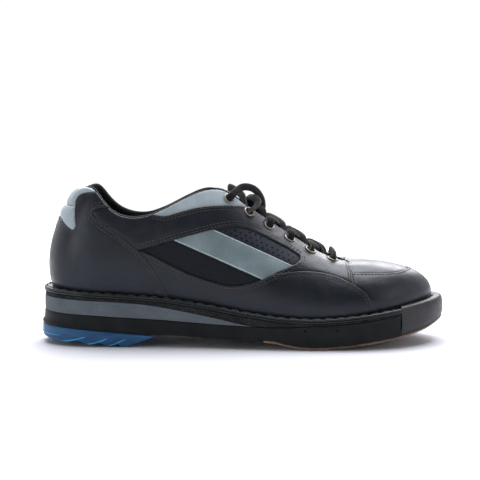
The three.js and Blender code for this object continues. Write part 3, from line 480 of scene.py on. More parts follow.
MATERIALS = {
    "leather": leather("leather", "13151c", "1b1d25", 0.34, 0.04, "303239", 0.35, (0.86, 0.91, 1.0)),
    "perforated": leather("perforated_leather", "1d2028", "272a32", 0.55, 0.06, "3c3d42", 0.2),
    "accent": leather("accent_leather", "828e95", "97a3aa", 0.4, 0.045, "b3babe", 0.45, (0.95, 0.97, 1.0)),
    "band": leather("band_leather", "627175", "7d8c90", 0.5, 0.1, "b5bfc0", 0.3, (0.95, 0.97, 1.0)),
    "guard": leather("guard_leather", "1d1c1e", "29282b", 0.42, 0.09, "3e3c40", 0.34, (0.95, 0.95, 1.0)),
    "mesh": ribbed_mesh(),
    "lining": textile("lining_cloth", "0c0d10", "1a1b20"),
    "footbed": textile("footbed_cloth", "121316", "222329", 1.1),
    "foam": rubber("foam", "8d8d86", "a5a59c", 0.95),
    "board": rubber("fibre_board", "9c8560", "c0a97f", 0.9, fleck="6f5a3c"),
    "rubber": rubber("outsole_rubber", "050607", "0b0d0f", 0.5, True, gloss=0.2, dust=0.03),
    "welt": rubber("welt_rubber", "090c0d", "151a1b", 0.3, gloss=0.4, dust=0.02, cast=(0.88, 1.0, 0.98)),
    "runner": rubber("runner_board", "121416", "1d1f21", 0.8, fleck="3a3634", gloss=0.2),
    "eva": rubber("wedge_foam", "52585e", "5c6369", 0.75, fleck="4c5258"),
    "suede": suede(),
    "blue": rubber("pad_rubber", "15406a", "225580", 0.42, True, gloss=0.35),
    "cyan": rubber("pad_edge", "2f86bd", "4aa2d8", 0.4),
    "hook": textile("hook_tape", "0e0e10", "252528", 1.4, 0.95, 0.1, 0.0006),
    "thread": textile("sewing_thread", "37312c", "564d46", 0.5, 0.8, 0.08),
    "welt_thread": textile("welt_thread", "1e2123", "3b4143", 0.7, 0.6, 0.08),
    "pale_line": rubber("pale_line", "9aa6a6", "b4bebd", 0.5),
    "lace": lace_cloth(),
    "plastic": rubber("aglet_plastic", "0c0d10", "16181c", 0.25, gloss=0.5),
    "steel": metal("shank_steel", "9a9da0"),
    "eyelet": metal("eyelet_metal", "8d857c", 0.36, 0.7),
    # Painted shade: a near-black for the vents in the sidewall, standing in for the shade inside their holes.
    "dark": rubber("vent_hole_painted_shade", "020202", "050506", 0.9, gloss=0.1, dust=0.0),
}

# ---------------------------------------------------------------- meshes


def build(name, points, faces, look, body="shoe", replaces=(), flat=None, floats=None, sharp=40):
    """A mesh object from millimetre points; floats are per-point attributes, flat a per-point UV."""
    mesh = bpy.data.meshes.new(name)
    mesh.from_pydata(place(points).tolist(), [], [tuple(int(i) for i in f) for f in faces])
    mesh.validate()
    mesh.polygons.foreach_set("use_smooth", np.ones(len(mesh.polygons), bool))
    if sharp:
        mesh.set_sharp_from_angle(angle=math.radians(sharp))
    for key, values in (floats or {}).items():
        mesh.attributes.new(key, "FLOAT", "POINT").data.foreach_set("value", np.asarray(values, np.float32))
    if flat is not None:
        layer = mesh.uv_layers.new(name="flat")
        corner = np.zeros(len(mesh.loops), np.int32)
        mesh.loops.foreach_get("vertex_index", corner)
        layer.data.foreach_set("uv", np.asarray(flat, np.float32)[corner].ravel())
    obj = bpy.data.objects.new(name, mesh)
    bpy.context.scene.collection.objects.link(obj)
    mesh.materials.append(MATERIALS[look])
    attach(obj, body)
    if replaces:
        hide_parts(*replaces)
    return obj


FILLING_FRAMES = 20


def inflate(obj, held, cap, pressure):
    """Presses a pad out as its filling does: a short cloth simulation, applied.

    Points with held = 1 stay, and no point moves further than cap millimetres.
    """
    group = obj.vertex_groups.new(name="held")
    for i, weight in enumerate(held):
        group.add([i], float(min(max(weight, 0), 1)), "REPLACE")
    filling = obj.modifiers.new("filling", "CLOTH")
    cloth = filling.settings
    cloth.quality = 6
    cloth.mass = 0.002
    cloth.use_pressure = True
    cloth.uniform_pressure_force = pressure
    cloth.effector_weights.gravity = 0
    cloth.vertex_group_mass = "held"
    cloth.pin_stiffness = 1
    cloth.tension_stiffness = cloth.compression_stiffness = 1
    cloth.bending_stiffness = 0.1
    cloth.air_damping = 2
    filling.point_cache.frame_start, filling.point_cache.frame_end = 1, FILLING_FRAMES
    scene = bpy.context.scene
    for moment in range(1, FILLING_FRAMES + 1):
        scene.frame_set(moment)
    count = len(obj.data.vertices)
    before, after = np.empty(count * 3), np.empty(count * 3)
    obj.data.vertices.foreach_get("co", before)
    pressed = obj.evaluated_get(bpy.context.evaluated_depsgraph_get())
    pressed.data.vertices.foreach_get("co", after)
    move = (after - before).reshape(-1, 3)
    size = np.maximum(np.linalg.norm(move, axis=1, keepdims=True), 1e-9)
    most = cap / 1000
    moved = before.reshape(-1, 3) + move * most * np.tanh(size / most) / size
    obj.modifiers.remove(filling)
    obj.data.vertices.foreach_set("co", moved.ravel())
    obj.data.update()
    scene.frame_set(1)
    given = np.linalg.norm(moved - before.reshape(-1, 3), axis=1).max()
    print(f"filled {obj.name}: {size.max() * 1000:.2f} mm asked, {given * 1000:.2f} mm given")


def tree_of(points):
    """A search tree of 2-D or 3-D points."""
    tree = KDTree(len(points))
    for i, p in enumerate(points):
        tree.insert(tuple(p) if len(p) == 3 else (p[0], p[1], 0), i)
    tree.balance()
    return tree


def distances(tree, points):
    """How far each point lies from the nearest one in the tree."""
    return np.array([tree.find(tuple(p) if len(p) == 3 else (p[0], p[1], 0))[2] for p in points])


def inside(polygon, points):
    """Which 2-D points lie in the polygon."""
    polygon = np.asarray(polygon, float)
    hit = np.zeros(len(points), bool)
    x, y = points[:, 0], points[:, 1]
    for (ax, ay), (bx, by) in zip(polygon, np.roll(polygon, -1, 0)):
        crosses = (ay > y) != (by > y)
        with np.errstate(divide="ignore", invalid="ignore"):
            hit ^= crosses & (x < (bx - ax) * (y - ay) / (by - ay) + ax)
    return hit


def spline(points, pitch=1.2):
    """A smooth curve through 2-D or 3-D points, sampled evenly."""
    p = np.asarray(points, float)
    q = np.vstack([2 * p[0] - p[1], p, 2 * p[-1] - p[-2]])
    t = np.linspace(0, 1, 24, endpoint=False)[:, None]
    dense = []
    for a, b, c, d in zip(q, q[1:], q[2:], q[3:]):
        bends = (2 * a - 5 * b + 4 * c - d) * t**2 + (3 * b - a - 3 * c + d) * t**3
        dense.append(0.5 * (2 * b + (c - a) * t + bends))
    return resample(np.vstack([*dense, p[-1:]]), pitch)


def resample(line, pitch=None, count=None):
    """The line's points moved to an even spacing, or to that many points."""
    s = run_of(line)
    n = count or max(2, int(round(s[-1] / pitch)) + 1)
    return np.stack([np.interp(np.linspace(0, s[-1], n), s, values) for values in line.T], 1)


def triangulate(points, edges):
    """Triangles over the hull of 2-D points, with the edges kept."""
    out = delaunay_2d_cdt([Vector(p) for p in points], [tuple(e) for e in edges], [], 0, 1e-4, True)
    return np.array([tuple(v) for v in out[0]], float), np.array(out[2], int)


def net(rows, columns, ring=False):
    """Faces of a grid of points listed row by row; the rows of a ring close on themselves."""
    faces = []
    for i in range(rows - 1):
        for j in range(columns if ring else columns - 1):
            k = (j + 1) % columns
            faces.append((i * columns + j, i * columns + k, (i + 1) * columns + k, (i + 1) * columns + j))
    return faces


def hose_faces(rows, sides):
    """Faces of a hose of that many rings, and of its two ends."""
    faces = net(rows, sides, True)
    faces.append(tuple(range(sides))[::-1])
    faces.append(tuple((rows - 1) * sides + j for j in range(sides)))
    return faces


def sheet_faces(rows, columns):
    """Faces of a closed sheet: the grid of its face, then the grid of its back, and the rim between them."""
    face = net(rows, columns)
    back = rows * columns
    rim = list(range(columns)) + [r * columns + columns - 1 for r in range(1, rows)]
    rim += [(rows - 1) * columns + c for c in range(columns - 2, -1, -1)]
    rim += [r * columns for r in range(rows - 2, 0, -1)]
    faces = face + [tuple(x + back for x in q[::-1]) for q in face]
    return faces + [(b, a, a + back, b + back) for a, b in zip(rim, rim[1:] + rim[:1])]


def tube(line, width, height, up, sides, taper):
    """A closed tube of oval section along a 3-D line, round at the ends; up is the way of its height."""
    line = np.asarray(line, float)
    t = unit(np.gradient(line, axis=0))
    n = np.asarray(up, float) * np.ones_like(line)
    n = n - (n * t).sum(1, keepdims=True) * t
    n /= np.linalg.norm(n, axis=1, keepdims=True) + 1e-12
    b = np.cross(t, n)
    k = np.arange(len(line))
    end = np.minimum(k, len(line) - 1 - k)
    scale = np.sqrt(1 - (1 - np.minimum((end + 0.25) / (taper + 0.25), 1)) ** 2)
    turn = turns(sides)
    across = np.cos(turn)[None, :, None] * b[:, None] * width / 2
    across = across + np.sin(turn)[None, :, None] * n[:, None] * height / 2
    points = (line[:, None] + across * scale[:, None, None]).reshape(-1, 3)
    return points, hose_faces(len(line), sides)


def outward(points, faces):
    """The faces of a closed mesh, turned over if it is inside out."""
    volume = 0.0
    for f in faces:
        a = points[f[0]]
        for b, c in zip(f[1:], f[2:]):
            volume += float(np.dot(a, np.cross(points[b], points[c])))
    return [f[::-1] for f in faces] if volume < 0 else faces


def joined(parts):
    """Several (points, faces) as one."""
    points, faces, n = [], [], 0
    for p, f in parts:
        points.append(p)
        faces += [tuple(i + n for i in face) for face in f]
        n += len(p)
    return np.vstack(points), faces

# ---------------------------------------------------------------- seams of the upper, in side view

# All of these are millimetres (x, z) of the pattern frame.
COUNTER_SEAM = [
    (-97, 106), (-99.1, 103), (-103.5, 102.9), (-107.6, 102), (-109.9, 99.8), (-109, 96.9), (-102.2, 90.9),
    (-91.2, 83.6), (-80.5, 75), (-76.1, 71.7), (-69.6, 64.2), (-63.2, 55.5), (-58.9, 46.6), (-55.3, 38.7),
    (-52, 29),
]  # fmt: skip
COUNTER = [(-52, 20), (-175, 20), (-175, 135), (-88, 135), (-92, 108)]
POD_SPLIT = 103.7
POD_BASE = 95
POD_LOW = [
    (-137.6, POD_BASE), (-136, 93.6), (-131.8, 89.6), (-127, 86.4), (-124.2, 86.7), (-123, 89.6),
    (-123.7, 95), (-123.7, POD_SPLIT),
]  # fmt: skip
POD_HIGH = [(-123.7, POD_SPLIT), (-123.3, 107.8), (-120.8, 111.4), (-116.5, 113.4), (-109, 114.3), (-100, 117)]
WINDOW_TOP = [
    (-76, 71.8), (-50, 79.5), (-37, 83.1), (-20, 87.4), (-4.7, 89.4), (6, 87.2), (16.5, 82.4), (27, 77),
    (36, 72.4), (43.2, 67.6),
]  # fmt: skip
WINDOW_BOTTOM = [
    (40.5, 62.2), (27, 57), (19.6, 53.1), (11, 49.4), (0, 46.4), (-10.5, 45.9), (-20, 48.2), (-37, 53.6),
    (-53, 61), (-64.2, 67), (-73, 70.6),
]  # fmt: skip
BAND = [(-56, 81.9), (-24.5, 89.2), (42, 59.1), (18, 49.7)]
BELOW_BAND = [(-95, 99), (-56.1, 81.6), (17.9, 49.4), (18, 20), (-95, 20)]
FOXING_SEAM = [
    (15, 50.2), (20, 53.4), (27.2, 55.2), (38, 56.4), (48.7, 56.5), (59.3, 55.3), (68, 53.2), (75.4, 50.5),
    (84.1, 46.2),
]  # fmt: skip
WRAP_REAR = [
    (82.2, 54.5), (82.4, 50), (84.1, 46.2), (88.5, 43.2), (92.2, 39.8), (95.3, 34.6), (99, 28.5), (103, 20),
]  # fmt: skip
MOC_SEAM = [(82.2, 54.5), (92, 54.2), (103.5, 54), (114.9, 53.9), (121, 54.5), (127, 55), (131, 55.8)]
VAMP_REAR = [(76, 63.5), (78.6, 61.6), (81.2, 59.2), (82.2, 54.5)]
ACCENT_SEAM = [
    (-68, 99.5), (-64.4, 98), (-56.6, 97.1), (-48, 99.3), (-34.4, 102.9), (-23.4, 104.2), (-12.3, 104.4),
    (-1.2, 103.7), (6, 102.3), (14, 99),
]  # fmt: skip

curves = {
    "counter": spline(COUNTER_SEAM),
    "pod_low": spline(POD_LOW[:-1]),
    "pod_side": spline(POD_LOW[-2:]),
    "pod_high": spline(POD_HIGH),
    "window_top": spline(WINDOW_TOP),
    "window_tip": spline([WINDOW_TOP[-1], (43.2, 64.8), WINDOW_BOTTOM[0]]),
    "window_bottom": spline([*WINDOW_BOTTOM, WINDOW_TOP[0]]),
    "band": resample(np.array([*BAND, BAND[0]], float), 1.2),
    "foxing": spline(FOXING_SEAM),
    "wrap": spline(WRAP_REAR),
    "moc": spline(MOC_SEAM),
    "vamp": spline(VAMP_REAR),
    "accent": spline(ACCENT_SEAM),
}
# The areas run on past the edge of the upper where no seam bounds them.
areas = {
    "counter": np.vstack([COUNTER, curves["counter"]]),
    "pod_low": np.vstack([[(-175, POD_SPLIT), (-175, POD_BASE)], curves["pod_low"], curves["pod_side"]]),
    "pod_high": np.vstack([curves["pod_high"], [(-100, 135), (-175, 135), (-175, POD_SPLIT)]]),
    "window": np.vstack([curves["window_top"], curves["window_tip"], curves["window_bottom"]]),
    "band": np.array(BAND, float),
    "below": np.array(BELOW_BAND, float),
    "foxing": np.vstack([
        curves["foxing"], [(84.3, 46), (102, 40), (103, 8), (-90, 8), (-90, 71.9), (-76, 71.8)],
    ]),
    "wrap": np.vstack([curves["wrap"][::-1], curves["moc"], [(175, 56), (175, 5), (103, 5)]]),
    "vamp": np.vstack([curves["vamp"], curves["moc"], [(175, 56.1), (175, 95), (74, 95)]]),
    "accent": np.vstack([curves["accent"], [(18, 135), (-68, 135)]]),
}
# How far the face of each panel lies outside the last.
LEVEL = {
    "eyestay": 0.25, "accent": -0.35, "foxing": 0.6, "counter": 0.95, "mesh": -1.0, "perforated": -0.75,
    "band": -0.1, "wrap": 0.35, "vamp": -0.15, "pod_low": 0.4, "pod_high": 0.4,
}  # fmt: skip
KINDS = list(LEVEL)
HOLE = len(KINDS)


def kind_of(xz):
    """The panel that a side-view point lies in, as an index of KINDS."""
    hit = {name: inside(area, xz) for name, area in areas.items()}
    kind = np.zeros(len(xz), int)
    for name in ("accent", "foxing"):
        kind[hit[name]] = KINDS.index(name)
    window = hit["window"]
    kind[window & hit["below"]] = KINDS.index("mesh")
    kind[window & ~hit["below"]] = KINDS.index("perforated")
    kind[window & hit["band"]] = KINDS.index("band")
    for name in ("counter", "pod_low", "pod_high", "wrap", "vamp"):
        kind[hit[name]] = KINDS.index(name)
    return kind


STEP_U, STEP_V = 26.0, 80.0  # millimetres to one unit of u and of v, roughly


def to_surface(xz, start):
    """Places (u, v) on one side of the last, from u = start to start + TOE, at side-view points."""
    us, vs = np.linspace(start, start + TOE, 241), np.linspace(0, 1, 81)
    grid_u, grid_v = (g.ravel() for g in np.meshgrid(us, vs))
    seen = last(grid_u, grid_v)[:, [0, 2]]
    near = np.array([np.argmin(((seen - p) ** 2).sum(1)) for p in xz])
    uv = np.stack([grid_u[near], grid_v[near]], 1)
    for _ in range(8):
        du, dv = tangents(uv[:, 0], uv[:, 1])
        miss = xz - last(uv[:, 0], uv[:, 1])[:, [0, 2]]
        jac = np.stack([du[:, [0, 2]], dv[:, [0, 2]]], -1)
        back = jac.transpose(0, 2, 1)
        uv = uv + np.einsum("nij,nj->ni", np.linalg.inv(back @ jac + np.eye(2) * 4) @ back, miss)
        uv[:, 0] = np.clip(uv[:, 0], start, start + TOE)
        uv[:, 1] = np.clip(uv[:, 1], 0, 1)
    return uv


def level_curve(z, start, stop_x):
    """The line at height z from the heel's centre line forward to x = stop_x."""
    line = []
    for k in range(60):
        u = start + k * 0.03 if start == 0 else start + TOE - k * 0.03
        lo, hi = 0.3, 1.0
        for _ in range(30):
            mid = (lo + hi) / 2
            lo, hi = (mid, hi) if last(u, mid)[2] < z else (lo, mid)
        line.append((u, lo))
        if last(u, lo)[0] > stop_x:
            break
    return np.array(line)


def beside(uv, distance):
    """The line moved sideways in the surface, to its left as seen from outside."""
    du, dv = tangents(uv[:, 0], uv[:, 1])
    step_uv = np.gradient(uv, axis=0)
    along = step_uv[:, :1] * du + step_uv[:, 1:] * dv
    side = np.cross(normal(uv[:, 0], uv[:, 1]), along)
    side /= np.linalg.norm(side, axis=1, keepdims=True) + 1e-12
    jac = np.stack([du, dv], -1)
    move = np.einsum("nij,nj->ni", np.linalg.pinv(jac), side)
    return uv + move * distance


FIRST_EYELET, EYELET_PITCH, EYELET_INSET, EYELETS = 6.36, 18, 5.8, 6


def eyelet_places():
    """The (u, v) of the outer eyelets, in even steps along the throat."""
    places = []
    u = FIRST_EYELET
    for k in range(EYELETS):
        edge = last(u, 1.0)
        v = 1.0
        while np.linalg.norm(last(u, v) - edge) < EYELET_INSET:
            v -= 0.002
        places.append((u, v))
        here = last(u, v)
        while k < EYELETS - 1 and np.linalg.norm(last(u, v) - here) < EYELET_PITCH:
            u += 0.005
    return places


eyelets = eyelet_places()


def circle_on(u, v, radius, count):
    """A circle in the surface round a place, as (u, v)."""
    du, dv = (t[0] for t in tangents([u], [v]))
    n = normal(np.array([u]), np.array([v]))[0]
    a = du / np.linalg.norm(du)
    b = np.cross(n, a)
    turn = turns(count)
    ring = radius * (np.cos(turn)[:, None] * a + np.sin(turn)[:, None] * b)
    return np.array([u, v]) + ring @ np.linalg.pinv(np.stack([du, dv], -1)).T


HOLE_PITCH, HOLE_ROW_PITCH, FIRST_HOLE_ROW = 4.3, 3.1, 2.6
HOLE_MARGIN = 1.9


def perforations(start):
    """Places of the punched holes, in staggered rows beside the band."""
    a, b = np.array(BAND[1], float), np.array(BAND[2], float)
    along = (b - a) / np.linalg.norm(b - a)
    across = np.array([-along[1], along[0]])
    dots = []
    for row in range(9):
        for k in range(-8, 24):
            step_on = along * (k + 0.5 * (row % 2)) * HOLE_PITCH
            dots.append(a + step_on + across * (FIRST_HOLE_ROW + row * HOLE_ROW_PITCH))
    dots = np.array(dots)
    dots = dots[kind_of(dots) == KINDS.index("perforated")]
    border = np.vstack([curves["window_top"], curves["window_tip"], curves["window_bottom"], curves["band"]])
    dots = dots[distances(tree_of(border), dots) > HOLE_MARGIN]
    return to_surface(dots, start)


RINGS = (0.14, 0.35, 0.65, 1.2, 2.2)  # lines of points beside a seam
EYELET_HOLE, PUNCHED_HOLE = 3.2, 0.72
FILL_PITCH = 1.7


def side_mesh(start):
    """One side of the upper in (u, v): points, triangles, their kinds, and the runs of the seams."""
    scale = np.array([STEP_U, STEP_V])
    end = start + TOE
    uu = np.linspace(start, end, 241)
    vv = np.linspace(0, 1, 61)
    border = np.vstack([
        np.c_[uu, 0 * uu],
        np.c_[0 * vv[1:] + end, vv[1:]],
        np.c_[uu[::-1][1:], 0 * uu[1:] + 1],
        np.c_[0 * vv[1:-1] + start, vv[::-1][1:-1]],
    ])  # fmt: skip
    points, edges = [border], [(i, (i + 1) % len(border)) for i in range(len(border))]
    seam_points, rings = [], []
    count = len(border)

    def add(line, closed=False, offsets=RINGS):
        nonlocal count
        points.append(line)
        edges.extend((count + i, count + i + 1) for i in range(len(line) - 1))
        if closed:
            edges.append((count + len(line) - 1, count))
        count += len(line)
        seam_points.append(line)
        for d in offsets:
            for sign in (-1, 1):
                rings.append((beside(line, sign * d), d))

    lines = {name: to_surface(line, start) for name, line in curves.items()}
    lines["pod_base"] = level_curve(POD_BASE, start, -137.7)
    lines["pod_split"] = level_curve(POD_SPLIT, start, -123.8)
    runs = {}
    for name, line in lines.items():
        keep = np.r_[True, np.linalg.norm(np.diff(line, axis=0) * scale, axis=1) > 0.05]
        line = line[keep]
        if len(line) < 3:
            continue
        kinds = []
        for side in (beside(line, 0.3), beside(line, -0.3)):
            at = last(np.clip(side[:, 0], start, end), np.clip(side[:, 1], 0, 1))
            kinds.append(kind_of(at[:, [0, 2]]))
        # Only where the seam parts two panels is it kept.
        differs = (kinds[0] != kinds[1]) & (line[:, 1] < 0.9999)
        parting = differs[:-1] | differs[1:]
        i = 0
        while i < len(parting):
            if not parting[i]:
                i += 1
                continue
            j = i
            while j < len(parting) and parting[j]:
                j += 1
            if j - i >= 2:
                piece = line[i : j + 1]
                add(piece)
                middle = (i + j) // 2
                runs.setdefault(name, []).append((piece, kinds[0][middle], kinds[1][middle]))
            i = j
    holes = []
    for u, v in eyelets:
        ring = circle_on(u if start == 0 else ROUND - u, v, EYELET_HOLE, 20)
        holes.append(ring)
        add(ring, True, (0.3, 0.9))
    for u, v in perforations(start):
        ring = circle_on(u, v, PUNCHED_HOLE, 9)
        holes.append(ring)
        add(ring, True, ())
    edge_line = np.c_[uu, 0 * uu + 1]
    for d in (0.2, 0.5, 0.9, 1.6):
        shifted = beside(edge_line, d if start == 0 else -d)
        shifted = shifted if shifted[60, 1] < 1 else beside(edge_line, -d if start == 0 else d)
        rings.append((shifted, d))
    seams = np.vstack(seam_points)
    tree = tree_of(seams * scale)
    extra = []
    for line, d in rings:
        line = line[(line[:, 0] > start + 0.03) & (line[:, 0] < end - 0.03)]
        line = line[(line[:, 1] > 0.004) & (line[:, 1] < 0.9985)]
        if len(line):
            near = distances(tree, line * scale)
            extra.append(line[near > 0.55 * d])
    grid_u = np.arange(start + 0.03, end - 0.02, FILL_PITCH / STEP_U)
    grid_v = np.arange(0.02, 0.985, FILL_PITCH / STEP_V)
    grid = np.stack(np.meshgrid(grid_u, grid_v), -1).reshape(-1, 2)
    grid = grid[distances(tree_of(np.vstack([seams, *extra]) * scale), grid * scale) > 1.1]
    points = np.vstack([*points, *extra, grid])
    made, triangles = triangulate(points * scale, edges)
    uv = made / scale
    uv[:, 0] = np.clip(uv[:, 0], start, end)
    uv[:, 1] = np.clip(uv[:, 1], 0, 1)
    middles = uv[triangles].mean(1)
    kinds = kind_of(last(middles[:, 0], middles[:, 1])[:, [0, 2]])
    for ring in holes:
        near = np.abs((middles - ring.mean(0)) * scale).max(1) < 6
        kinds[np.flatnonzero(near)[inside(ring * scale, middles[near] * scale)]] = HOLE
    return uv, triangles, kinds, runs


sides = [side_mesh(0), side_mesh(TOE)]

# Both sides in one list of points, joined at the toe and at the heel.
shift = len(sides[0][0])
uv = np.vstack([sides[0][0], sides[1][0]])
triangles = np.vstack([sides[0][1], sides[1][1] + shift])
kinds = np.r_[sides[0][2], sides[1][2]]
keys = {}
same = np.arange(len(uv))
for i, (a, b) in enumerate(uv):
    if min(abs(a), abs(a - TOE), abs(a - ROUND)) < 1e-6:
        same[i] = keys.setdefault((round(a % ROUND, 5), round(b, 4)), i)
triangles = same[triangles]
good = (triangles != np.roll(triangles, 1, 1)).all(1)
triangles, kinds = triangles[good], kinds[good]

surface = last(uv[:, 0], uv[:, 1])
normals = normal(uv[:, 0], uv[:, 1])
# Every triangle faces outwards.
tri = surface[triangles]
faces_out = (np.cross(tri[:, 1] - tri[:, 0], tri[:, 2] - tri[:, 0]) * normals[triangles[:, 0]]).sum(1) > 0
triangles[~faces_out] = triangles[~faces_out][:, ::-1]

# Which panels meet at each edge.
edge_kinds = {}
for t, k in zip(triangles.tolist(), kinds.tolist()):
    for a, b in ((t[0], t[1]), (t[1], t[2]), (t[2], t[0])):
        edge_kinds.setdefault((min(a, b), max(a, b)), []).append(k)

# Grooves of the needle rows, by their distance from the panel's edge.
STITCHED = {"counter": (1.9, 4.1), "eyestay": (1.9, 4.1), "foxing": (1.9, 4.1), "wrap": (1.8,)}
EDGE_RADIUS = 0.55
POD_RISE, POD_SHOULDER = 2.3, 6.5


def on_centre(u):
    """Whether a place lies on the line between the two sides."""
    return min(abs(u % ROUND), abs(u - TOE), abs(u - ROUND)) < 1e-4


def panel(name, kind, look, replaces, side=None):
    """One closed leather piece: its face follows the last at its level, rounded where it lies on top."""
    code = KINDS.index(kind)
    level = LEVEL[kind]
    chosen = kinds == code
    if side is not None:
        middle = uv[triangles][:, :, 0].mean(1)
        chosen &= (middle < TOE) if side == 0 else (middle >= TOE)
    mine = triangles[chosen]
    top_edges, low_edges, rim = [], [], []
    seen = {}
    for t in mine.tolist():
        for a, b in ((t[0], t[1]), (t[1], t[2]), (t[2], t[0])):
            seen.setdefault((min(a, b), max(a, b)), []).append((a, b))
    for key, uses in seen.items():
        if len(uses) == 1:
            rim.append(uses[0])
            others = [k for k in edge_kinds[key] if k != code]
            at_foot = uv[key[0], 1] < 1e-4 and uv[key[1], 1] < 1e-4
            at_centre = side is not None and on_centre(uv[key[0], 0]) and on_centre(uv[key[1], 0])
            punched = kind == "perforated" and others and others[0] == HOLE
            if at_foot or at_centre or punched:
                continue
            lower = not others or others[0] == HOLE or LEVEL[KINDS[others[0]]] < level
            (top_edges if lower else low_edges).append(key)
    used, local = np.unique(mine, return_inverse=True)
    local = local.reshape(-1, 3)
    where, out = surface[used], normals[used]

    def away(edges):
        if not edges:
            return np.full(len(used), 1e3)
        a, b = surface[np.array(edges)].transpose(1, 0, 2)
        return distances(tree_of(np.vstack([a, b, (a + b) / 2])), where)

    near_top, near_low = away(top_edges), away(low_edges)
    inner = np.minimum(near_top, EDGE_RADIUS)
    height = level - EDGE_RADIUS + np.sqrt(EDGE_RADIUS**2 - (EDGE_RADIUS - inner) ** 2)
    both = np.minimum(near_top, near_low)
    is_pod = kind.startswith("pod")
    if is_pod:
        height = level - 0.9 + POD_RISE * np.sqrt(1 - (1 - np.minimum(both / POD_SHOULDER, 1)) ** 2)
    else:
        height -= 0.3 * np.exp(-((near_low / 1.1) ** 2))
        for row in STITCHED.get(kind, ()):
            height -= 0.13 * np.exp(-(((near_top - row) / 0.55) ** 2))
    if kind in ("eyestay", "foxing", "counter", "wrap", "vamp", "accent"):
        # Slight waves, as in leather that was pulled over a last.
        height += 0.16 * ripple(where, 34, 3) * np.minimum(near_low / 8, 1) + 0.05 * ripple(where, 11, 5)
    if kind == "mesh":
        height += 0.25 * np.minimum(near_low / 7, 1)
    top = where + out * height[:, None]
    bottom = where - out * (LEATHER - 0.1)
    n = len(used)
    index = {int(g): i for i, g in enumerate(used)}
    faces = [tuple(t) for t in local.tolist()] + [(c + n, b + n, a + n) for a, b, c in local.tolist()]
    for a, b in rim:
        a, b = index[a], index[b]
        faces.append((b, a, a + n, b + n))
    points = np.vstack([top, bottom])
    flat = np.tile(uv[used] * [STEP_U / 100, STEP_V / 100], (2, 1))
    worn = np.exp(-near_top / 0.5)
    floats = {"edge": np.r_[worn, worn]}
    obj = build(name, points, faces, look, replaces=replaces, flat=flat, floats=floats, sharp=50)
    if is_pod:
        inflate(obj, np.r_[np.exp(-((both / 1.3) ** 2)), np.ones(n)], 0.6, 300)
    return obj


PANELS = [
    ("quarter_eyestay", "eyestay", "leather", "eyestay"), ("accent", "accent", "accent", "collar_accent"),
    ("foxing", "foxing", "leather", "side_panel"), ("knit_window", "mesh", "mesh", "mesh_panel"),
    ("punched_window", "perforated", "perforated", "perforated_panel"), ("band", "band", "band", "side_band"),
    ("heel_counter", "counter", "leather", "counter"),
]  # fmt: skip
for code, word in enumerate(("lateral", "medial")):
    for name, kind, look, cad in PANELS:
        panel(f"{name}_{word}", kind, look, [f"{cad}_{word}"], code)
panel("toe_wrapper", "wrap", "leather", ["toe_wrap"])
panel("vamp_top", "vamp", "leather", ["vamp"])
for word, cad in (("low", "heel_pod_lower"), ("high", "heel_pod_upper")):
    pod = panel(f"pod_{word}", f"pod_{word}", "accent", [cad])

# ---------------------------------------------------------------- the sole unit


def sole_edge(u):
    """How far the sole stands out from the leather's foot line."""
    u = np.asarray(u, float) % ROUND
    from_toe = np.abs(u - TOE)
    from_heel = np.minimum(u, ROUND - u)
    return 5.4 + 3.4 * (1 - step(from_toe, 0, 4)) + 1.4 * (1 - step(from_heel, 0, 2))


def outline(u, d=0.0):
    """Plan points of the sole edge, d outside it."""
    away = (sole_edge(u) + np.asarray(d, float))[..., None]
    return (loop_at(foot_loop, u) + out_of(foot_loop, u) * away)[..., :2]


def station_at(x, inner):
    """The u at which the sole edge passes x on one side."""
    us = np.linspace(0.6, TOE - 0.6, 1500)
    us = ROUND - us if inner else us
    return float(us[np.argmin(np.abs(outline(us)[:, 0] - x))])


def walk(front, rear, count, marks):
    """Stations round a sole part, in order, and whether they close; marks are x of extra ones."""
    if front is None and rear is None:
        return np.linspace(0, ROUND, count, endpoint=False), True
    if front is not None:
        a, b = station_at(front, True) - ROUND, station_at(front, False)
    else:
        a, b = station_at(rear, False), station_at(rear, True)
    us = np.linspace(a, b, count)
    for x in marks:
        for inner in (False, True):
            u = station_at(x, inner)
            us = np.r_[us, u - ROUND if front is not None and inner else u]
    us = np.unique(np.round(us, 6))
    return us[np.r_[True, np.diff(us) > 1e-3]], False


def loft_faces(count, levels, closed):
    """Faces of the side of a loft whose points are listed station by station."""
    faces = []
    for i in range(count if closed else count - 1):
        j = (i + 1) % count
        for m in range(levels - 1):
            faces.append((i * levels + m, j * levels + m, j * levels + m + 1, i * levels + m + 1))
    return faces


def cap(ring, ids, first, height, upper, pitch, inset, margin, columns=()):
    """The inner points and the triangles of a flat end, whose ring has the point numbers ids."""
    plan = ring[:, :2]
    low, high = plan.min(0), plan.max(0)
    grid_x = np.unique(np.r_[np.arange(low[0] + inset[0], high[0] - inset[1], pitch), columns])
    grid_y = np.arange(low[1] + inset[0], high[1] - inset[1], pitch)
    grid = np.stack(np.meshgrid(grid_x, grid_y), -1).reshape(-1, 2)
    grid = grid[inside(plan, grid)]
    grid = grid[distances(tree_of(plan), grid) > margin]
    count = len(plan)
    made, triangles = triangulate(np.vstack([plan, grid]), [(i, (i + 1) % count) for i in range(count)])
    triangles = triangles[inside(plan, made[triangles].mean(1))]
    extra = made[count:]
    numbers = np.r_[ids, np.arange(first, first + len(extra))].astype(int)
    corners = made[triangles]
    area = np.cross(corners[:, 1] - corners[:, 0], corners[:, 2] - corners[:, 0])
    triangles = np.where(((area > 0) == upper)[:, None], triangles, triangles[:, ::-1])
    return np.c_[extra, height(extra)], [tuple(numbers[t]) for t in triangles]


CUT_POINTS = 22  # between the two sides of a part that is cut across


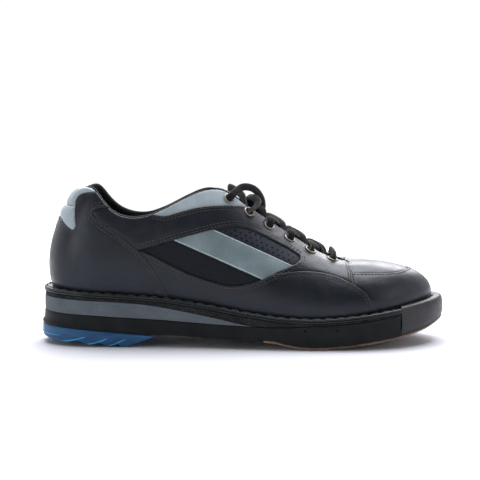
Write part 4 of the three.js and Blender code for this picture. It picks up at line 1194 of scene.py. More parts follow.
def sole_part(
    name, look, bottom, top, profile, replaces,
    body="shoe", front=None, rear=None, count=300, marks=(), wobble=None, sharp=35,
):  # fmt: skip
    """A solid between two heights; profile shapes its side: (outside the edge, share of height, rise)."""
    us, closed = walk(front, rear, count, marks)
    n, k = len(us), len(profile)
    rings = []
    for d, f, rise in profile:
        xy = outline(us, np.full(n, d))
        if front is not None:
            xy[:, 0] = np.minimum(xy[:, 0], front)
        if rear is not None:
            xy[:, 0] = np.maximum(xy[:, 0], rear)
        rings.append(np.c_[xy, bottom(xy[:, 0]) * (1 - f) + top(xy[:, 0]) * f + rise])
    side = np.stack(rings, 1)
    if wobble:
        side = wobble(side, us)
    points = [side.reshape(-1, 3)]
    faces = loft_faces(n, k, closed)
    total = n * k
    walls = []
    for level, m in ((bottom, 0), (top, k - 1)):
        rise = profile[m][2]
        ring = side[:, m]
        ids = list(range(m, n * k, k))
        if not closed:
            t = np.linspace(0, 1, CUT_POINTS + 2)[1:-1, None]
            wall = ring[-1] * (1 - t) + ring[0] * t
            wall[:, 2] = level(wall[:, 0]) + rise
            points.append(wall)
            wall_ids = list(range(total, total + CUT_POINTS))
            total += CUT_POINTS
            walls.append([ids[-1], *wall_ids, ids[0]])
            ids = ids + wall_ids
            ring = np.vstack([ring, wall])
        columns = [x for x in marks if ring[:, 0].min() + 1 < x < ring[:, 0].max() - 1]
        extra, end = cap(ring, ids, total, lambda p: level(p[:, 0]) + rise, m > 0, 6.0, (3, 2), 2.0, columns)
        points.append(extra)
        total += len(extra)
        faces += end
    if not closed:
        below, above = walls
        faces += list(zip(below, below[1:], above[1:], above))
        faces.append(tuple(range(k))[::-1])
        faces.append(tuple((n - 1) * k + m for m in range(k)))
    points = np.vstack(points)
    return build(name, points, outward(points, faces), look, body, replaces, sharp=sharp)


def outsole_top(x):
    return sidewall(x) + step(x, 2, 13) * (runner_bottom(x) - sidewall(x)) - 0.05


LIP = [
    (-0.6, 0, 0), (1.3, 0, 0.1), (1.75, 0, 0.7), (1.7, 0, 1.5), (1.0, 0, 2.5), (0.35, 0, 3.5),
    (0.1, 0.5, 1.2), (0.0, 0.8, 0.4), (-0.1, 1, -0.4), (-0.6, 1, 0),
]  # fmt: skip
UNDER_GUARD = 1.8


def lip_only_at_heel(side, us):
    """The flare at the foot of the outsole runs out in front of the heel."""
    share = 1 - step(side[:, 4, 0], -150, -118)
    low = share + (1 - share) * step(side[:, 4, 0], 20, 60) * 0.25
    base = outline(us, -0.1)
    for m in range(1, 7):
        side[:, m, :2] = base + (side[:, m, :2] - base) * low[:, None]
    # In front it is drawn in, under the toe's leather cover.
    under = UNDER_GUARD * step(base[:, 0], GUARD_REAR, GUARD_REAR + 1)
    side[:, :, :2] -= (out_of(foot_loop, us)[:, :2] * under[:, None])[:, None]
    return side


def wedge_upper(x):
    return np.maximum(runner_bottom(x) - 0.1, sidewall(x) + 0.12)


sole_part(
    "outsole_body", "rubber", outsole_bottom, outsole_top, LIP, ["outsole"],
    wobble=lip_only_at_heel, count=420,
)  # fmt: skip
sole_part(
    "wedge", "eva", sidewall, wedge_upper,
    [(-0.9, 0, 0), (-0.35, 0.02, 0.02), (-0.25, 0.3, 0), (-0.2, 0.7, 0), (-0.35, 0.98, -0.02), (-0.9, 1, 0)],
    ["midsole_wedge"], front=WEDGE_TIP,
)  # fmt: skip
sole_part(
    "runner", "runner", runner_bottom, runner_top,
    [(-1.4, 0, 0), (-0.75, 0.08, 0), (-0.6, 0.35, 0), (-0.6, 0.7, 0), (-0.75, 0.92, 0), (-1.4, 1, 0)],
    ["midsole_runner"], front=GUARD_REAR - 0.3, count=340,
)  # fmt: skip

# A rib below, a groove, the ridge that the stitches lie on, and the groove along the leather.
WELT = [
    (-1.4, 0, 0), (-0.2, 0.02, 0), (0.25, 0.12, 0), (0.4, 0.26, 0), (0.25, 0.4, 0), (-0.35, 0.47, 0),
    (-0.4, 0.52, 0), (0.15, 0.58, 0), (0.3, 0.72, 0), (0.1, 0.88, 0), (-0.4, 0.98, 0), (-1.1, 1, 0.05),
    (-2.0, 1, -0.05), (-2.5, 1, -0.35), (-3.2, 1, -0.35), (-4.2, 1, -0.05), (-9.0, 1, 0.0),
]  # fmt: skip
sole_part(
    "welt_strip", "welt", welt_bottom, welt_top, WELT, ["welt"], front=GUARD_REAR - 0.3, count=480, sharp=50,
)  # fmt: skip


def guard_top(x):
    return welt_top(x) - 0.45 - 0.35 * step(x, 125, 150)


def guard_folds(side, us):
    """Small folds where the cover is pulled round the toe."""
    centre = np.array([118.0, 6.0])
    flat = side[:, :, :2]
    angle = np.arctan2(flat[..., 1] - centre[1], flat[..., 0] - centre[0])
    height = np.linspace(0, 1, side.shape[1])[None, :]
    folds = np.sin(angle * 31 + 2.2 * np.sin(angle * 9)) + 0.7 * np.sin(angle * 57 + 1.3)
    amount = 0.32 * step(height, 0.45, 0.8) * step(side[..., 0], 121, 132)
    out = out_of(foot_loop, us)[:, None, :2]
    side[..., :2] += out * (folds * amount)[..., None]
    side[..., 2] += 0.14 * folds * step(height, 0.7, 0.95)
    soft = 0.25 * ripple(side.reshape(-1, 3), 22, 9).reshape(side.shape[:2])
    side[..., :2] += out * (soft * step(height, 0.05, 0.3))[..., None]
    return side


GUARD = [
    (-3.0, 0, 0), (-1.4, 0, 0.1), (-0.5, 0, 0.7), (-0.05, 0.08, 0.6), (0.2, 0.25, 0), (0.3, 0.45, 0),
    (0.2, 0.62, 0), (0.1, 0.74, 0), (-0.15, 0.84, 0), (-0.6, 0.94, 0), (-1.3, 1.0, 0.25), (-2.2, 1, 0.85),
    (-3.3, 1, 1.3), (-4.6, 1, 1.5), (-5.8, 1, 1.45), (-7.0, 1, 1.1), (-8.0, 1, 0.4), (-9.5, 1, -0.2),
]  # fmt: skip
sole_part(
    "toe_cover", "guard", outsole_bottom, guard_top, GUARD, ["toe_guard"],
    rear=GUARD_REAR, count=420, wobble=guard_folds, sharp=60,
)  # fmt: skip


def slide_bottom(x):
    z = np.maximum(slide_top(x) - SLIDE_SOLE, FLOOR)
    return np.where((x > BALL_REAR) & (x < BALL_FRONT), FLOOR, z)


sole_part(
    "slide_cover", "suede", slide_bottom, slide_top,
    [(-1.6, 0, 0), (-0.7, 0.1, 0), (-0.4, 0.45, 0), (-0.5, 0.9, 0), (-1.0, 1, 0)],
    ["slide_sole"], body="slide_sole", rear=SLIDE_REAR, count=300,
)  # fmt: skip

# The sawtooth underside of the heel pad: x and height over the floor.
TEETH = [
    (-158, 5.0), (-151, 4.9), (-132.6, 2.7), (-124.2, 4.5), (-114, 1.3), (-107.6, 3.2), (-98, 0.0),
    (-93.6, 2.5), (-88, 0.0), (-84, 0.0), (-66, 6.9),
]  # fmt: skip


def teeth(x):
    xs, zs = np.array(TEETH, float).T
    return FLOOR + np.interp(x, xs, zs)


def pad_upper(x):
    return np.maximum(slide_top(x), teeth(x) + 0.4)


pad_marks = [x for x, _ in TEETH[1:-1]]
sole_part(
    "blue_pad", "blue", teeth, pad_upper,
    [
        (-0.2, 0, 0), (0.9, 0, 0.12), (1.3, 0, 0.5), (1.6, 0.3, 0.3), (1.75, 0.6, 0), (1.7, 0.9, 0),
        (1.2, 1, -0.1), (0.2, 1, 0),
    ],
    ["heel_pad"], body="heel_pad", front=PAD_FRONT, marks=pad_marks, count=260, sharp=28,
)  # fmt: skip


def on_side(x, z, inner, d):
    """A point on the sole's side at a given x and height."""
    u = station_at(x, inner)
    return np.array([*outline(np.array([u]), np.array([d]))[0], z])


# Bright rubber edges of the heel pad's blades, on both sides, and its ledge round the back.
BLADES = [
    [(-133.4, 3.6), (-127, 4.4), (-121, 5.9), (-115.6, 7.4)],
    [(-114.6, 2.2), (-108.5, 3.2), (-103.5, 4.9), (-99.6, 6.3)],
    [(-98.6, 1.0), (-94, 2.4), (-89.6, 4.4), (-85.6, 6.0)],
]
LEDGE_REAR, LEDGE_POINTS = -134, 90
edges = []
for inner in (False, True):
    for blade in BLADES:
        path = np.array([on_side(x, z, inner, 1.72) for x, z in spline(blade, 0.8)])
        edges.append(tube(path, 0.95, 0.7, (0, 1 if inner else -1, 0), 8, 5))
ledge_us = np.linspace(station_at(LEDGE_REAR, True) - ROUND, station_at(LEDGE_REAR, False), LEDGE_POINTS)
ledge_xy = outline(ledge_us, np.full(LEDGE_POINTS, 1.75))
ledge = np.c_[ledge_xy, 8.1 - 0.02 * (ledge_xy[:, 0] + 150)]
edges.append(tube(ledge, 0.6, 0.7, out_of(foot_loop, ledge_us), 8, 6))
build("pad_blade_edges", *joined(edges), "cyan", "heel_pad")

# Welt stitches: long coarse dashes on the ridge.
DASH_PITCH, DASH_SHARE, DASH_POINTS = 8.6, 0.78, 9


def dash_stations(start, end):
    """Where each dash starts and ends, in even steps round the sole."""
    us = np.linspace(start, end, 3000)
    s = run_of(outline(us, np.full(3000, -1.4)))
    marks = np.arange(DASH_PITCH / 2, s[-1], DASH_PITCH)
    return zip(np.interp(marks, s, us), np.interp(marks + DASH_PITCH * DASH_SHARE, s, us))


dashes = []
first = station_at(GUARD_REAR - 4, True) - ROUND
final = station_at(GUARD_REAR - 4, False)
for a, b in dash_stations(first, final):
    if b > final:
        continue
    us = np.linspace(a, b, DASH_POINTS)
    bow = np.sin(np.linspace(0, math.pi, DASH_POINTS))
    xy = outline(us, -1.7 + 0.25 * bow)
    z = welt_top(xy[:, 0]) - 0.2 + 0.45 * bow
    out = out_of(foot_loop, us) * 0.4 + np.array([0, 0, 1.0])
    dashes.append(tube(np.c_[xy, z], 1.5, 0.8, out, 8, 3))
build("welt_stitches", *joined(dashes), "welt_thread")

# Two small vents in the forefoot's sidewall, drawn as solid near-black discs: painted shade standing in for
# the shade inside the holes.
VENTS = [(46.2, 14.4), (69.9, 14.7)]
VENT_RADIUS, VENT_SIDES = 0.8, 12
vent_shade_discs = []
for x, z in VENTS:
    c = on_side(x, z, False, -0.15)
    turn = turns(VENT_SIDES)
    rings = []
    for y in (-0.25, 0.5):
        circle = (VENT_RADIUS * np.cos(turn), np.full(VENT_SIDES, y), VENT_RADIUS * np.sin(turn))
        rings.append(c + np.stack(circle, 1))
    vent_shade_discs.append((np.vstack(rings), hose_faces(2, VENT_SIDES)))
build("vent_shade_discs", *joined(vent_shade_discs), "dark")

# ---------------------------------------------------------------- inside: linings, footbed, hidden layers


def thickened(obj, thickness):
    """The object's sheet made that many metres thick towards its inner side, with the modifier applied."""
    modifier = obj.modifiers.new("solidify", "SOLIDIFY")
    modifier.thickness = thickness
    modifier.offset = -1.0
    made = bpy.data.meshes.new_from_object(obj.evaluated_get(bpy.context.evaluated_depsgraph_get()))
    obj.modifiers.clear()
    obj.data = made


LINING_ROWS = [0.0, 0.06, 0.15, 0.26, 0.38, 0.5, 0.6, 0.68, 0.76, 0.83, 0.885]
ROLL_DEPTH = 0.75


def lining_piece(name, start, end, replaces, count):
    """The lining: up the inside, then rolled over the foam to the leather's edge."""
    us = np.linspace(start, end, count)
    rows = [offset(us, np.full(count, v), -lining_inside(us, v)) for v in LINING_ROWS]
    deep = lining_inside(us, 0.93)
    up = unit(tangents(us, np.full(count, 0.97))[1])
    n = normal(us, np.full(count, 0.97))
    half = (deep - ROLL_DEPTH) / 2
    collar = step((deep - 4.0) / 2.2, 0, 1)
    base = last(us, np.full(count, 1.0)) - n * (ROLL_DEPTH + half)[:, None]
    base = base - up * (3.4 - 1.2 * collar)[:, None]
    for a in np.linspace(0, math.pi, 11):
        rolled = up * ((2.4 + 1.9 * collar) * math.sin(a))[:, None]
        rows.append(base - n * (half * math.cos(a))[:, None] + rolled)
    rows.append(base + n * half[:, None] - up * 3.0)
    grid = np.stack(rows, 1)
    m = grid.shape[1]
    wrinkle = 0.25 * ripple(grid.reshape(-1, 3), 14, 12).reshape(count, m)
    mask = np.zeros(m)
    mask[3:18] = 1
    grid = grid + normal(us, np.full(count, 0.9))[:, None] * (wrinkle * mask)[..., None]
    obj = build(name, grid.reshape(-1, 3), net(count, m), "lining", replaces=replaces, sharp=0)
    thickened(obj, 0.0007)


COLUMN = ROUND / 32  # the CAD's panels are divided into 32 columns
SEAM = 12 * COLUMN
lining_piece("quarter_cloth_lateral", 0.0, SEAM, ["quarter_lining_lateral"], 150)
lining_piece("quarter_cloth_medial", ROUND - SEAM, ROUND, ["quarter_lining_medial"], 150)
lining_piece("vamp_cloth", SEAM + 0.01, ROUND - SEAM - 0.01, ["vamp_lining"], 110)


def collar_pad(start, end, low, high, depth, thickness, count=120, rows=26):
    """The foam behind the leather of the collar, with round edges."""
    u, v = np.meshgrid(np.linspace(start, end, count), np.linspace(low, high, rows), indexing="ij")
    n = normal(u, v)
    a = np.minimum(u - start, end - u) * STEP_U
    b = np.minimum(v - low, high - v) * STEP_V
    near = np.minimum(np.minimum(a, b) / 2.2, 1)
    half = thickness / 2 * (0.12 + 0.88 * np.sqrt(1 - (1 - near) ** 2))
    middle = last(u, v) - n * (depth + thickness / 2)
    outer, inner = middle + n * half[..., None], middle - n * half[..., None]
    points = np.vstack([outer.reshape(-1, 3), inner.reshape(-1, 3)])
    faces = outward(points, sheet_faces(count, rows))
    return build("collar_pad", points, faces, "foam", replaces=["collar_foam"])


foam = collar_pad(-7 * COLUMN, 7 * COLUMN, 0.61, 0.955, 1.9, 3.0)


BED_THICK = 3.7


def bed_bottom(x):
    return welt_top(x) + GAP


def bed_top(x):
    return welt_top(x) + GAP + BED_THICK


def bed_hollow(xy):
    """The footbed is cupped at the heel and slightly dished under the ball."""
    heel = 1.3 * np.exp(-(((xy[:, 0] + 112) / 34) ** 2) - ((xy[:, 1] / 20) ** 2))
    ball = 0.7 * np.exp(-(((xy[:, 0] - 60) / 30) ** 2) - ((xy[:, 1] / 28) ** 2))
    return heel + ball


def bed_upper(xy):
    return bed_top(xy[:, 0]) - bed_hollow(xy)


# The footbed: a plate inside the foot line, with rounded edges, as (outside the foot line, share of height).
BED_PROFILE = [(-5.2, 0), (-4.4, 0.25), (-4.4, 0.75), (-4.72, 0.96), (-5.68, 1)]
bed_us = np.linspace(0, ROUND, 260, endpoint=False)
rings = []
for d, f in BED_PROFILE:
    p = loop_at(foot_loop, bed_us) + out_of(foot_loop, bed_us) * d
    rings.append(np.c_[p[:, :2], bed_bottom(p[:, 0]) * (1 - f) + bed_top(p[:, 0]) * f])
side = np.stack(rings, 1)
n, k = side.shape[:2]
points, faces = [side.reshape(-1, 3)], loft_faces(n, k, True)
for height, m in ((lambda xy: bed_bottom(xy[:, 0]), 0), (bed_upper, k - 1)):
    first = sum(len(p) for p in points)
    extra, end = cap(side[:, m], range(m, n * k, k), first, height, m > 0, 4.0, (0, 0), 1.5)
    points.append(extra)
    faces += end
points = np.vstack(points)
build("footbed_cushion", points, outward(points, faces), "footbed", replaces=["footbed"])

# ---------------------------------------------------------------- tongue

LACE = 4.0
LACE_ROOM = LACE + 4 * GAP
TONGUE_TOP, TONGUE_ROOT = 5.75, 11.4
CROWN = 2.4


def tongue_row(u, depth):
    """One row of the tongue, from its outer edge over its crown to its inner edge."""
    wings = np.array([0.72, 0.84, 0.93, 1.0])

    def wing(w):
        uu = np.full(4, w)
        return offset(uu, wings, -(lining_inside(uu, wings) + LACE_ROOM + depth))

    left, right = wing(u), wing(ROUND - u)[::-1]
    one = np.ones(1)
    up = normal(u * one, one)[0] + normal((ROUND - u) * one, one)[0]
    up /= np.linalg.norm(up)
    f = np.array([0.3, 0.5, 0.7])[:, None]
    middle = left[-1] * (1 - f) + right[0] * f + up * (CROWN * 4 * f * (1 - f))
    return np.vstack([left, middle, right])


def tongue_sheet(name, look, depth, thickness, replaces, solid_edge, filled):
    """A layer of the tongue with rounded edges; a filled one is pressed out towards the foot."""
    rows, cols = 64, 40
    us = np.linspace(TONGUE_TOP, TONGUE_ROOT, rows)
    middle = np.array([resample(spline(tongue_row(u, depth + thickness / 2), 0.5), count=cols) for u in us])
    n = unit(np.cross(np.gradient(middle, axis=1), np.gradient(middle, axis=0)))
    if n[rows // 2, cols // 2, 2] < 0:
        n = -n
    i, j = np.meshgrid(np.arange(rows), np.arange(cols), indexing="ij")
    a = np.minimum(i, rows - 1 - i) * 2.3
    b = np.minimum(j, cols - 1 - j) * 1.9
    near = np.minimum(np.minimum(a, b) / (thickness * 0.9 + 0.6), 1)
    half = thickness / 2 * (solid_edge + (1 - solid_edge) * np.sqrt(1 - (1 - near) ** 2))
    top, bottom = middle + n * half[..., None], middle - n * half[..., None]
    points = np.vstack([top.reshape(-1, 3), bottom.reshape(-1, 3)])
    faces = outward(points, sheet_faces(rows, cols))
    obj = build(name, points, faces, look, "tongue", replaces)
    if filled:
        inflate(obj, np.r_[np.ones(rows * cols), 1 - near.ravel()], 1.2, 4)
    return obj


tongue_sheet("tongue_leather", "leather", 0.0, 1.0, ["tongue_face"], 0.5, False)
cushion = tongue_sheet("tongue_cushion", "lining", 1.1, 4.5, ["tongue_foam", "tongue_lining"], 0.15, True)

# The keeper loop on the tongue.
strip = np.array([tongue_row(u, -0.75)[4:7] for u in np.linspace(7.4, 7.7, 5)])
across_loop = spline(strip.mean(0), 0.7)
wide = np.linalg.norm(strip[0, 1] - strip[-1, 1])
strap = tube(across_loop, wide, 0.8, (0.45, 0, 0.9), 14, 3)
build("keeper_loop", *strap, "leather", "tongue", ["tongue_loop"])

# ---------------------------------------------------------------- eyelets


def stand(points, u, v, out):
    """Points drawn with z along the outward normal, stood at a place of the last."""
    du, _ = (t[0] for t in tangents([u], [v]))
    n = normal(np.array([u]), np.array([v]))[0]
    a = du - n * (du @ n)
    a /= np.linalg.norm(a)
    b = np.cross(n, a)
    return last(u, v) + points @ np.stack([a, b, n]) + n * out


# Radius and height over the leather, round the section of an eyelet.
EYELET_PROFILE = [
    (2.8, -5.6), (3.1, -5.6), (3.05, -0.6), (3.2, 0.0), (4.0, 0.15), (4.25, 0.35), (4.25, 0.6), (4.05, 0.85),
    (3.65, 1.0), (3.25, 0.95), (3.0, 0.75), (2.85, 0.35), (2.8, -0.8),
]  # fmt: skip


def lathe(profile, sides):
    """A ring with that section about the z axis."""
    turn = turns(sides)
    p = np.array(profile, float)
    x, y = np.outer(np.cos(turn), p[:, 0]), np.outer(np.sin(turn), p[:, 0])
    points = np.stack([x, y, np.outer(np.ones(sides), p[:, 1])], -1)
    m = len(p)
    faces = []
    for i in range(sides):
        k = (i + 1) % sides
        for j in range(m):
            q = (j + 1) % m
            faces.append((i * m + j, k * m + j, k * m + q, i * m + q))
    return points.reshape(-1, 3), faces


ring_points, ring_faces = lathe(EYELET_PROFILE, 36)
eyelet_at = {}
for k, (u, v) in enumerate(eyelets):
    for word, w in (("lateral", u), ("medial", ROUND - u)):
        points = stand(ring_points, w, v, 0.15)
        eyelet_at[word, k] = (w, v)
        faces = outward(points, ring_faces)
        build(f"ring_{word}_{k + 1}", points, faces, "eyelet", replaces=[f"eyelet_{word}_{k + 1}"], sharp=60)

# ---------------------------------------------------------------- lace

LACE_WIDE, LACE_THICK = 5.6, 3.1
OVER = 1.3 + LACE_THICK / 2
UNDER = 2 * GAP + LACE / 2
DIP = 2.4
CROSSING_RISE = LACE_THICK + 0.1
# The two slack loops at the top, which stand up over the outer eyelets.
TOP_ARCH = [
    (15.3, 8, 99.3), (16.3, 5, 104.1), (13.9, 1, 110.3), (9.4, -4.5, 115.2), (3.8, -9.5, 117.3),
    (-1.2, -13.5, 116.4),
]  # fmt: skip
SECOND_ARCH = [
    (6.5, 6, 106.5), (7.0, -1.5, 109.2), (10.2, -8.5, 108.6), (12.2, -13.5, 105.9), (10.4, -17.5, 102.6),
]  # fmt: skip


def along_normal(w, v, out):
    return offset(np.array([w]), np.array([v]), np.array([out]))[0]


def throat(word, k, out):
    """The place on the throat's edge beside an eyelet."""
    return along_normal(eyelet_at[word, k][0], 1.0, out)


def depth_at(w, v):
    return float(lining_inside(np.array([w]), np.array([v]))[0])


def through(word, k):
    """Into an eyelet from above."""
    w, v = eyelet_at[word, k]
    return [along_normal(w, v, OVER - 0.2), along_normal(w, v, -(depth_at(w, v) + UNDER + 0.4))]


def crossing(word_a, a, word_b, b, height):
    """From under one eyelet across the tongue to the top of the next one on the other side."""
    wa, wb = eyelet_at[word_a, a][0], eyelet_at[word_b, b][0]
    low = throat(word_a, a, -(depth_at(wa, 1.0) + UNDER))
    if word_b == "lateral" and b < 2:
        return [low, *np.array((TOP_ARCH, SECOND_ARCH)[b], float)]
    over = throat(word_b, b, OVER)
    up = sum(along_normal(w, 1.0, 1) - along_normal(w, 1.0, 0) for w in (wa, wb))
    up /= np.linalg.norm(up)
    rise = throat(word_a, a, -DIP) * 0.74 + over * 0.26 + up * height * 0.35
    middle = throat(word_a, a, 0) * 0.5 + throat(word_b, b, 0) * 0.5 + up * height
    return [low, rise, middle, over]


TUCK = [(6.2, 0.8), (5.75, 0.68), (5.25, 0.57), (4.75, 0.49), (4.3, 0.44)]


def tucked(word):
    """Down along the lining to the lace's end."""
    route = []
    for u, v in TUCK:
        w = u if word == "lateral" else ROUND - u
        route.append(along_normal(w, v, -(depth_at(w, v) + UNDER + GAP)))
    return route


def half(start):
    """The lace from the bar at the toe to one of its ends."""
    route, word = [], start
    for k in range(EYELETS - 1, 0, -1):
        other = "medial" if word == "lateral" else "lateral"
        over = (start == "lateral") == (k % 2 == 1)
        route += through(word, k)
        route += crossing(word, k, other, k - 1, OVER - DIP + (CROSSING_RISE if over else 0))
        word = other
    return [*route, *through(word, 0), *tucked(word)]


bar = sum(throat(word, EYELETS - 1, OVER + 0.6) for word in ("lateral", "medial")) / 2 + [0, 0, 1.0]
lace_points = np.array([*half("lateral")[::-1], bar, *half("medial")])


SHOE_CENTRE = np.array([20.0, 0.0, 40.0])


def ribbon(line, width, height, sides=16):
    """A flat oval cord, broad side to the shoe; also how far each point is along and across it."""
    t = unit(np.gradient(line, axis=0))
    # The loops that stand up over the throat turn their broad side to the outer side of the shoe.
    high = step(line[:, 2], 105, 112)[:, None]
    facing = unit(line - SHOE_CENTRE) * (1 - high) + np.array([0, -1, 0.35]) * high
    n = np.zeros_like(line)
    n[0] = facing[0] - t[0] * (facing[0] @ t[0])
    n[0] /= np.linalg.norm(n[0])
    for i in range(1, len(line)):
        carried = n[i - 1] - t[i] * (n[i - 1] @ t[i])
        carried /= np.linalg.norm(carried)
        wish = facing[i] - t[i] * (facing[i] @ t[i])
        strength = np.linalg.norm(wish)
        if strength > 0.35:
            wish /= strength
            if wish @ carried < 0:
                wish = -wish
            carried = carried + wish * 0.05 * strength
            carried /= np.linalg.norm(carried)
        n[i] = carried
    b = np.cross(t, n)
    c, s = np.cos(turns(sides)), np.sin(turns(sides))
    wide, high = (np.sign(w) * np.abs(w) ** 0.8 for w in (c, s))
    section = np.stack([wide * width / 2, high * height / 2], 1)
    points = line[:, None] + section[None, :, :1] * b[:, None] + section[None, :, 1:] * n[:, None]
    rows = len(line)
    along, across = np.repeat(run_of(line), sides), np.tile(section[:, 0], rows)
    return points.reshape(-1, 3), hose_faces(rows, sides), along, across


lace_line = spline(lace_points, 0.7)
points, faces, along, across = ribbon(lace_line, LACE_WIDE, LACE_THICK)
floats = {"along": along, "across": across}
build("laced_cord", points, outward(points, faces), "lace", replaces=["lace"], floats=floats, sharp=0)


def tip(name, end, before, cad):
    """The plastic tip that goes on from an end of the lace."""
    direction = (end - before) / np.linalg.norm(end - before)
    line = end + np.outer(np.linspace(0.2, 20, 24), direction)
    build(name, *tube(line, 3.4, 3.4, (0.3, 0.2, 0.9), 16, 2), "plastic", replaces=[cad])


tip("tip_medial", lace_line[0], lace_line[1], "aglet_medial")
tip("tip_lateral", lace_line[-1], lace_line[-2], "aglet_lateral")

# ---------------------------------------------------------------- seams: sewing thread and edge lines


STITCH_PITCH, STITCH_LENGTH, THREAD = 2.7, 2.0, 0.62


def stitch_row(line_uv, distance, toward, out):
    """Stitches along a seam, at a distance on one side of it; toward is +1 for its left."""
    uv_line = beside(line_uv, toward * distance)
    uv_line = uv_line[(uv_line[:, 1] > 0.01) & (uv_line[:, 1] < 0.985)]
    if len(uv_line) < 4:
        return []
    s = run_of(last(uv_line[:, 0], uv_line[:, 1]))
    if s[-1] < STITCH_PITCH:
        return []
    marks = np.linspace(STITCH_PITCH / 2, s[-1] - STITCH_PITCH / 2, max(1, int(s[-1] / STITCH_PITCH)))
    made = []
    for m in marks:
        t = np.linspace(m - STITCH_LENGTH / 2, m + STITCH_LENGTH / 2, 6)
        uu, vv = np.interp(t, s, uv_line[:, 0]), np.interp(t, s, uv_line[:, 1])
        n = normal(uu, vv)
        bow = np.sin(np.linspace(0, math.pi, 6))[:, None]
        made.append(tube(last(uu, vv) + n * (out - 0.12 + 0.16 * bow), THREAD, THREAD * 0.75, n, 6, 2))
    return made


# For each seam, the panel sewn down along it (None: whichever lies higher) and its rows of stitches.
ROWS = {
    "counter": ("counter", (1.7, 3.9)), "window_top": ("eyestay", (1.7, 3.7)),
    "window_tip": ("eyestay", (1.7, 3.7)), "window_bottom": (None, (1.7, 3.7)),
    "foxing": ("foxing", (1.7, 3.7)), "moc": ("wrap", (1.3,)), "wrap": ("foxing", (1.5, 3.3)),
    "accent": ("eyestay", (1.6, 3.4)), "vamp": ("eyestay", (1.4, 3.2)), "pod_low": ("counter", (1.2,)),
    "pod_high": ("counter", (1.2,)),
}  # fmt: skip
for code, word in enumerate(("lateral", "medial")):
    threads = []
    runs = sides[code][3]
    for name, (upper, rows) in ROWS.items():
        for piece, left, right in runs.get(name, []):
            names = [KINDS[k] if k < HOLE else "" for k in (left, right)]
            if upper is None:
                choice = max((0, 1), key=lambda i: LEVEL.get(names[i], -9))
            elif upper in names:
                choice = names.index(upper)
            else:
                continue
            for row in rows:
                threads += stitch_row(piece, row, 1 if choice == 0 else -1, LEVEL[names[choice]] + 0.05)
    build(f"stitching_{word}", *joined(threads), "thread")
    edges_made = []
    for piece, left, right in runs.get("band", []):
        names = [KINDS[k] if k < HOLE else "" for k in (left, right)]
        if "band" not in names:
            continue
        toward = 1 if names.index("band") == 0 else -1
        uv_line = beside(piece, toward * 0.75)[1:-1]
        if len(uv_line) < 5:
            continue
        n = normal(uv_line[:, 0], uv_line[:, 1])
        line = last(uv_line[:, 0], uv_line[:, 1]) + n * (LEVEL["band"] + 0.02)
        edges_made.append(tube(line, 0.55, 0.4, n, 6, 2))
    build(f"band_edges_{word}", *joined(edges_made), "pale_line")

# ---------------------------------------------------------------- CAD nodes carried over: their finish


CARRIED = {
    "shank": "steel", "insole_board": "board", "heel_stiffener": "board", "toe_puff": "board",
    "heel_hook_panel": "hook", "heel_pad_loop_backing": "hook", "forefoot_hook_panel": "hook",
    "slide_sole_loop_backing": "hook",
}  # fmt: skip
for node, look in CARRIED.items():
    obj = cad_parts[node]
    obj.data.materials.clear()
    obj.data.materials.append(MATERIALS[look])

# ---------------------------------------------------------------- stage, light and camera


# White paper whose glow grows with the distance, so that it runs out into the white behind.
paper = new_material("paper")
tone = paper.remap(paper.noise(3, 2), 0.3, 0.7, 0, 1)
far = paper.new("ShaderNodeVectorMath", operation="LENGTH", Vector=paper.places["Object"]).outputs["Value"]
paper.set(
    Base_Color=paper.mix(tone, colour("c8c9cf"), colour("cccdd3")),
    Roughness=0.8,
    Emission_Color=(1, 1, 1, 1),
    Emission_Strength=paper.remap(far, 0.25, 0.7, 0, 0.45),
)
PAPER_Z = -0.0002  # just below the flat parts of the sole
corners = [(-1.2, -0.95, PAPER_Z), (1.2, -0.95, PAPER_Z), (1.2, 1.0, PAPER_Z), (-1.2, 1.0, PAPER_Z)]
floor_mesh = bpy.data.meshes.new("floor")
floor_mesh.from_pydata(corners, [], [(0, 1, 2, 3)])
floor_mesh.materials.append(paper.owner)
floor = bpy.data.objects.new("floor", floor_mesh)
bpy.context.scene.collection.objects.link(floor)

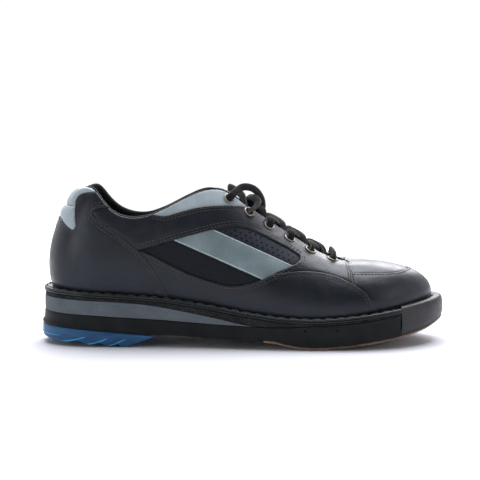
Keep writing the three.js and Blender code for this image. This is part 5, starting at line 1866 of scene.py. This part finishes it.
# White at the horizon, behind and overhead, as in a studio whose room is dark in front of the table.
sky = Nodes(bpy.data.worlds.new("studio"), "Background")
toward = sky.new("ShaderNodeSeparateXYZ", Vector=sky.places["Generated"]).outputs
in_front = sky.remap(toward["Y"], -0.25, 0.35, 1.0, 0.0)
above = sky.remap(toward["Z"], 0.12, 0.3, 0.0, 1.0)
overhead = sky.remap(toward["Z"], 0.8, 0.97, 1.0, 0.0)
dimmed = sky.math("MULTIPLY", sky.math("MULTIPLY", in_front, above), overhead)
sky.set(Color=(0.985, 0.99, 1.0, 1), Strength=sky.remap(dimmed, 0.0, 1.0, 1.03, 0.16))
bpy.context.scene.world = sky.owner
bpy.context.scene.view_settings.view_transform = "Standard"


def lamp(name, where, target, size, power, tint=(1, 1, 1)):
    data = bpy.data.lights.new(name, "AREA")
    data.shape = "RECTANGLE"
    data.size, data.size_y = size
    data.energy = power
    data.color = tint
    obj = bpy.data.objects.new(name, data)
    obj.location = where
    obj.rotation_euler = (Vector(target) - Vector(where)).to_track_quat("-Z", "Y").to_euler()
    bpy.context.scene.collection.objects.link(obj)


lamp("top", (0.05, 0.35, 1.15), (0.02, 0, 0.05), (1.4, 0.8), 24, (0.98, 0.98, 1))
lamp("front", (-1.15, -0.95, 0.42), (-0.1, 0, 0.06), (0.8, 0.6), 3.5)
lamp("toe", (1.2, -0.5, 0.6), (0.05, 0, 0.05), (0.6, 0.6), 2.0, (0.95, 0.97, 1))
lamp("behind", (0.1, 1.2, 0.8), (0, 0, 0.06), (1.4, 0.7), 20, (0.97, 0.96, 1))

# The camera of the picture: level with the shoe's side, a little above the floor.
EYE = np.array([-1.2, -1094.9, 181.6])
AIM = np.array([-1.2, 0, 76.2])
camera_data = bpy.data.cameras.new("camera")
camera_data.sensor_width = 36
camera_data.lens = 108.3
camera_data.clip_start, camera_data.clip_end = 0.05, 30
camera = bpy.data.objects.new("camera", camera_data)
camera.location = Vector(place(EYE))
camera.rotation_euler = Vector(place(AIM) - place(EYE)).to_track_quat("-Z", "Y").to_euler()
bpy.context.scene.collection.objects.link(camera)
bpy.context.scene.camera = camera
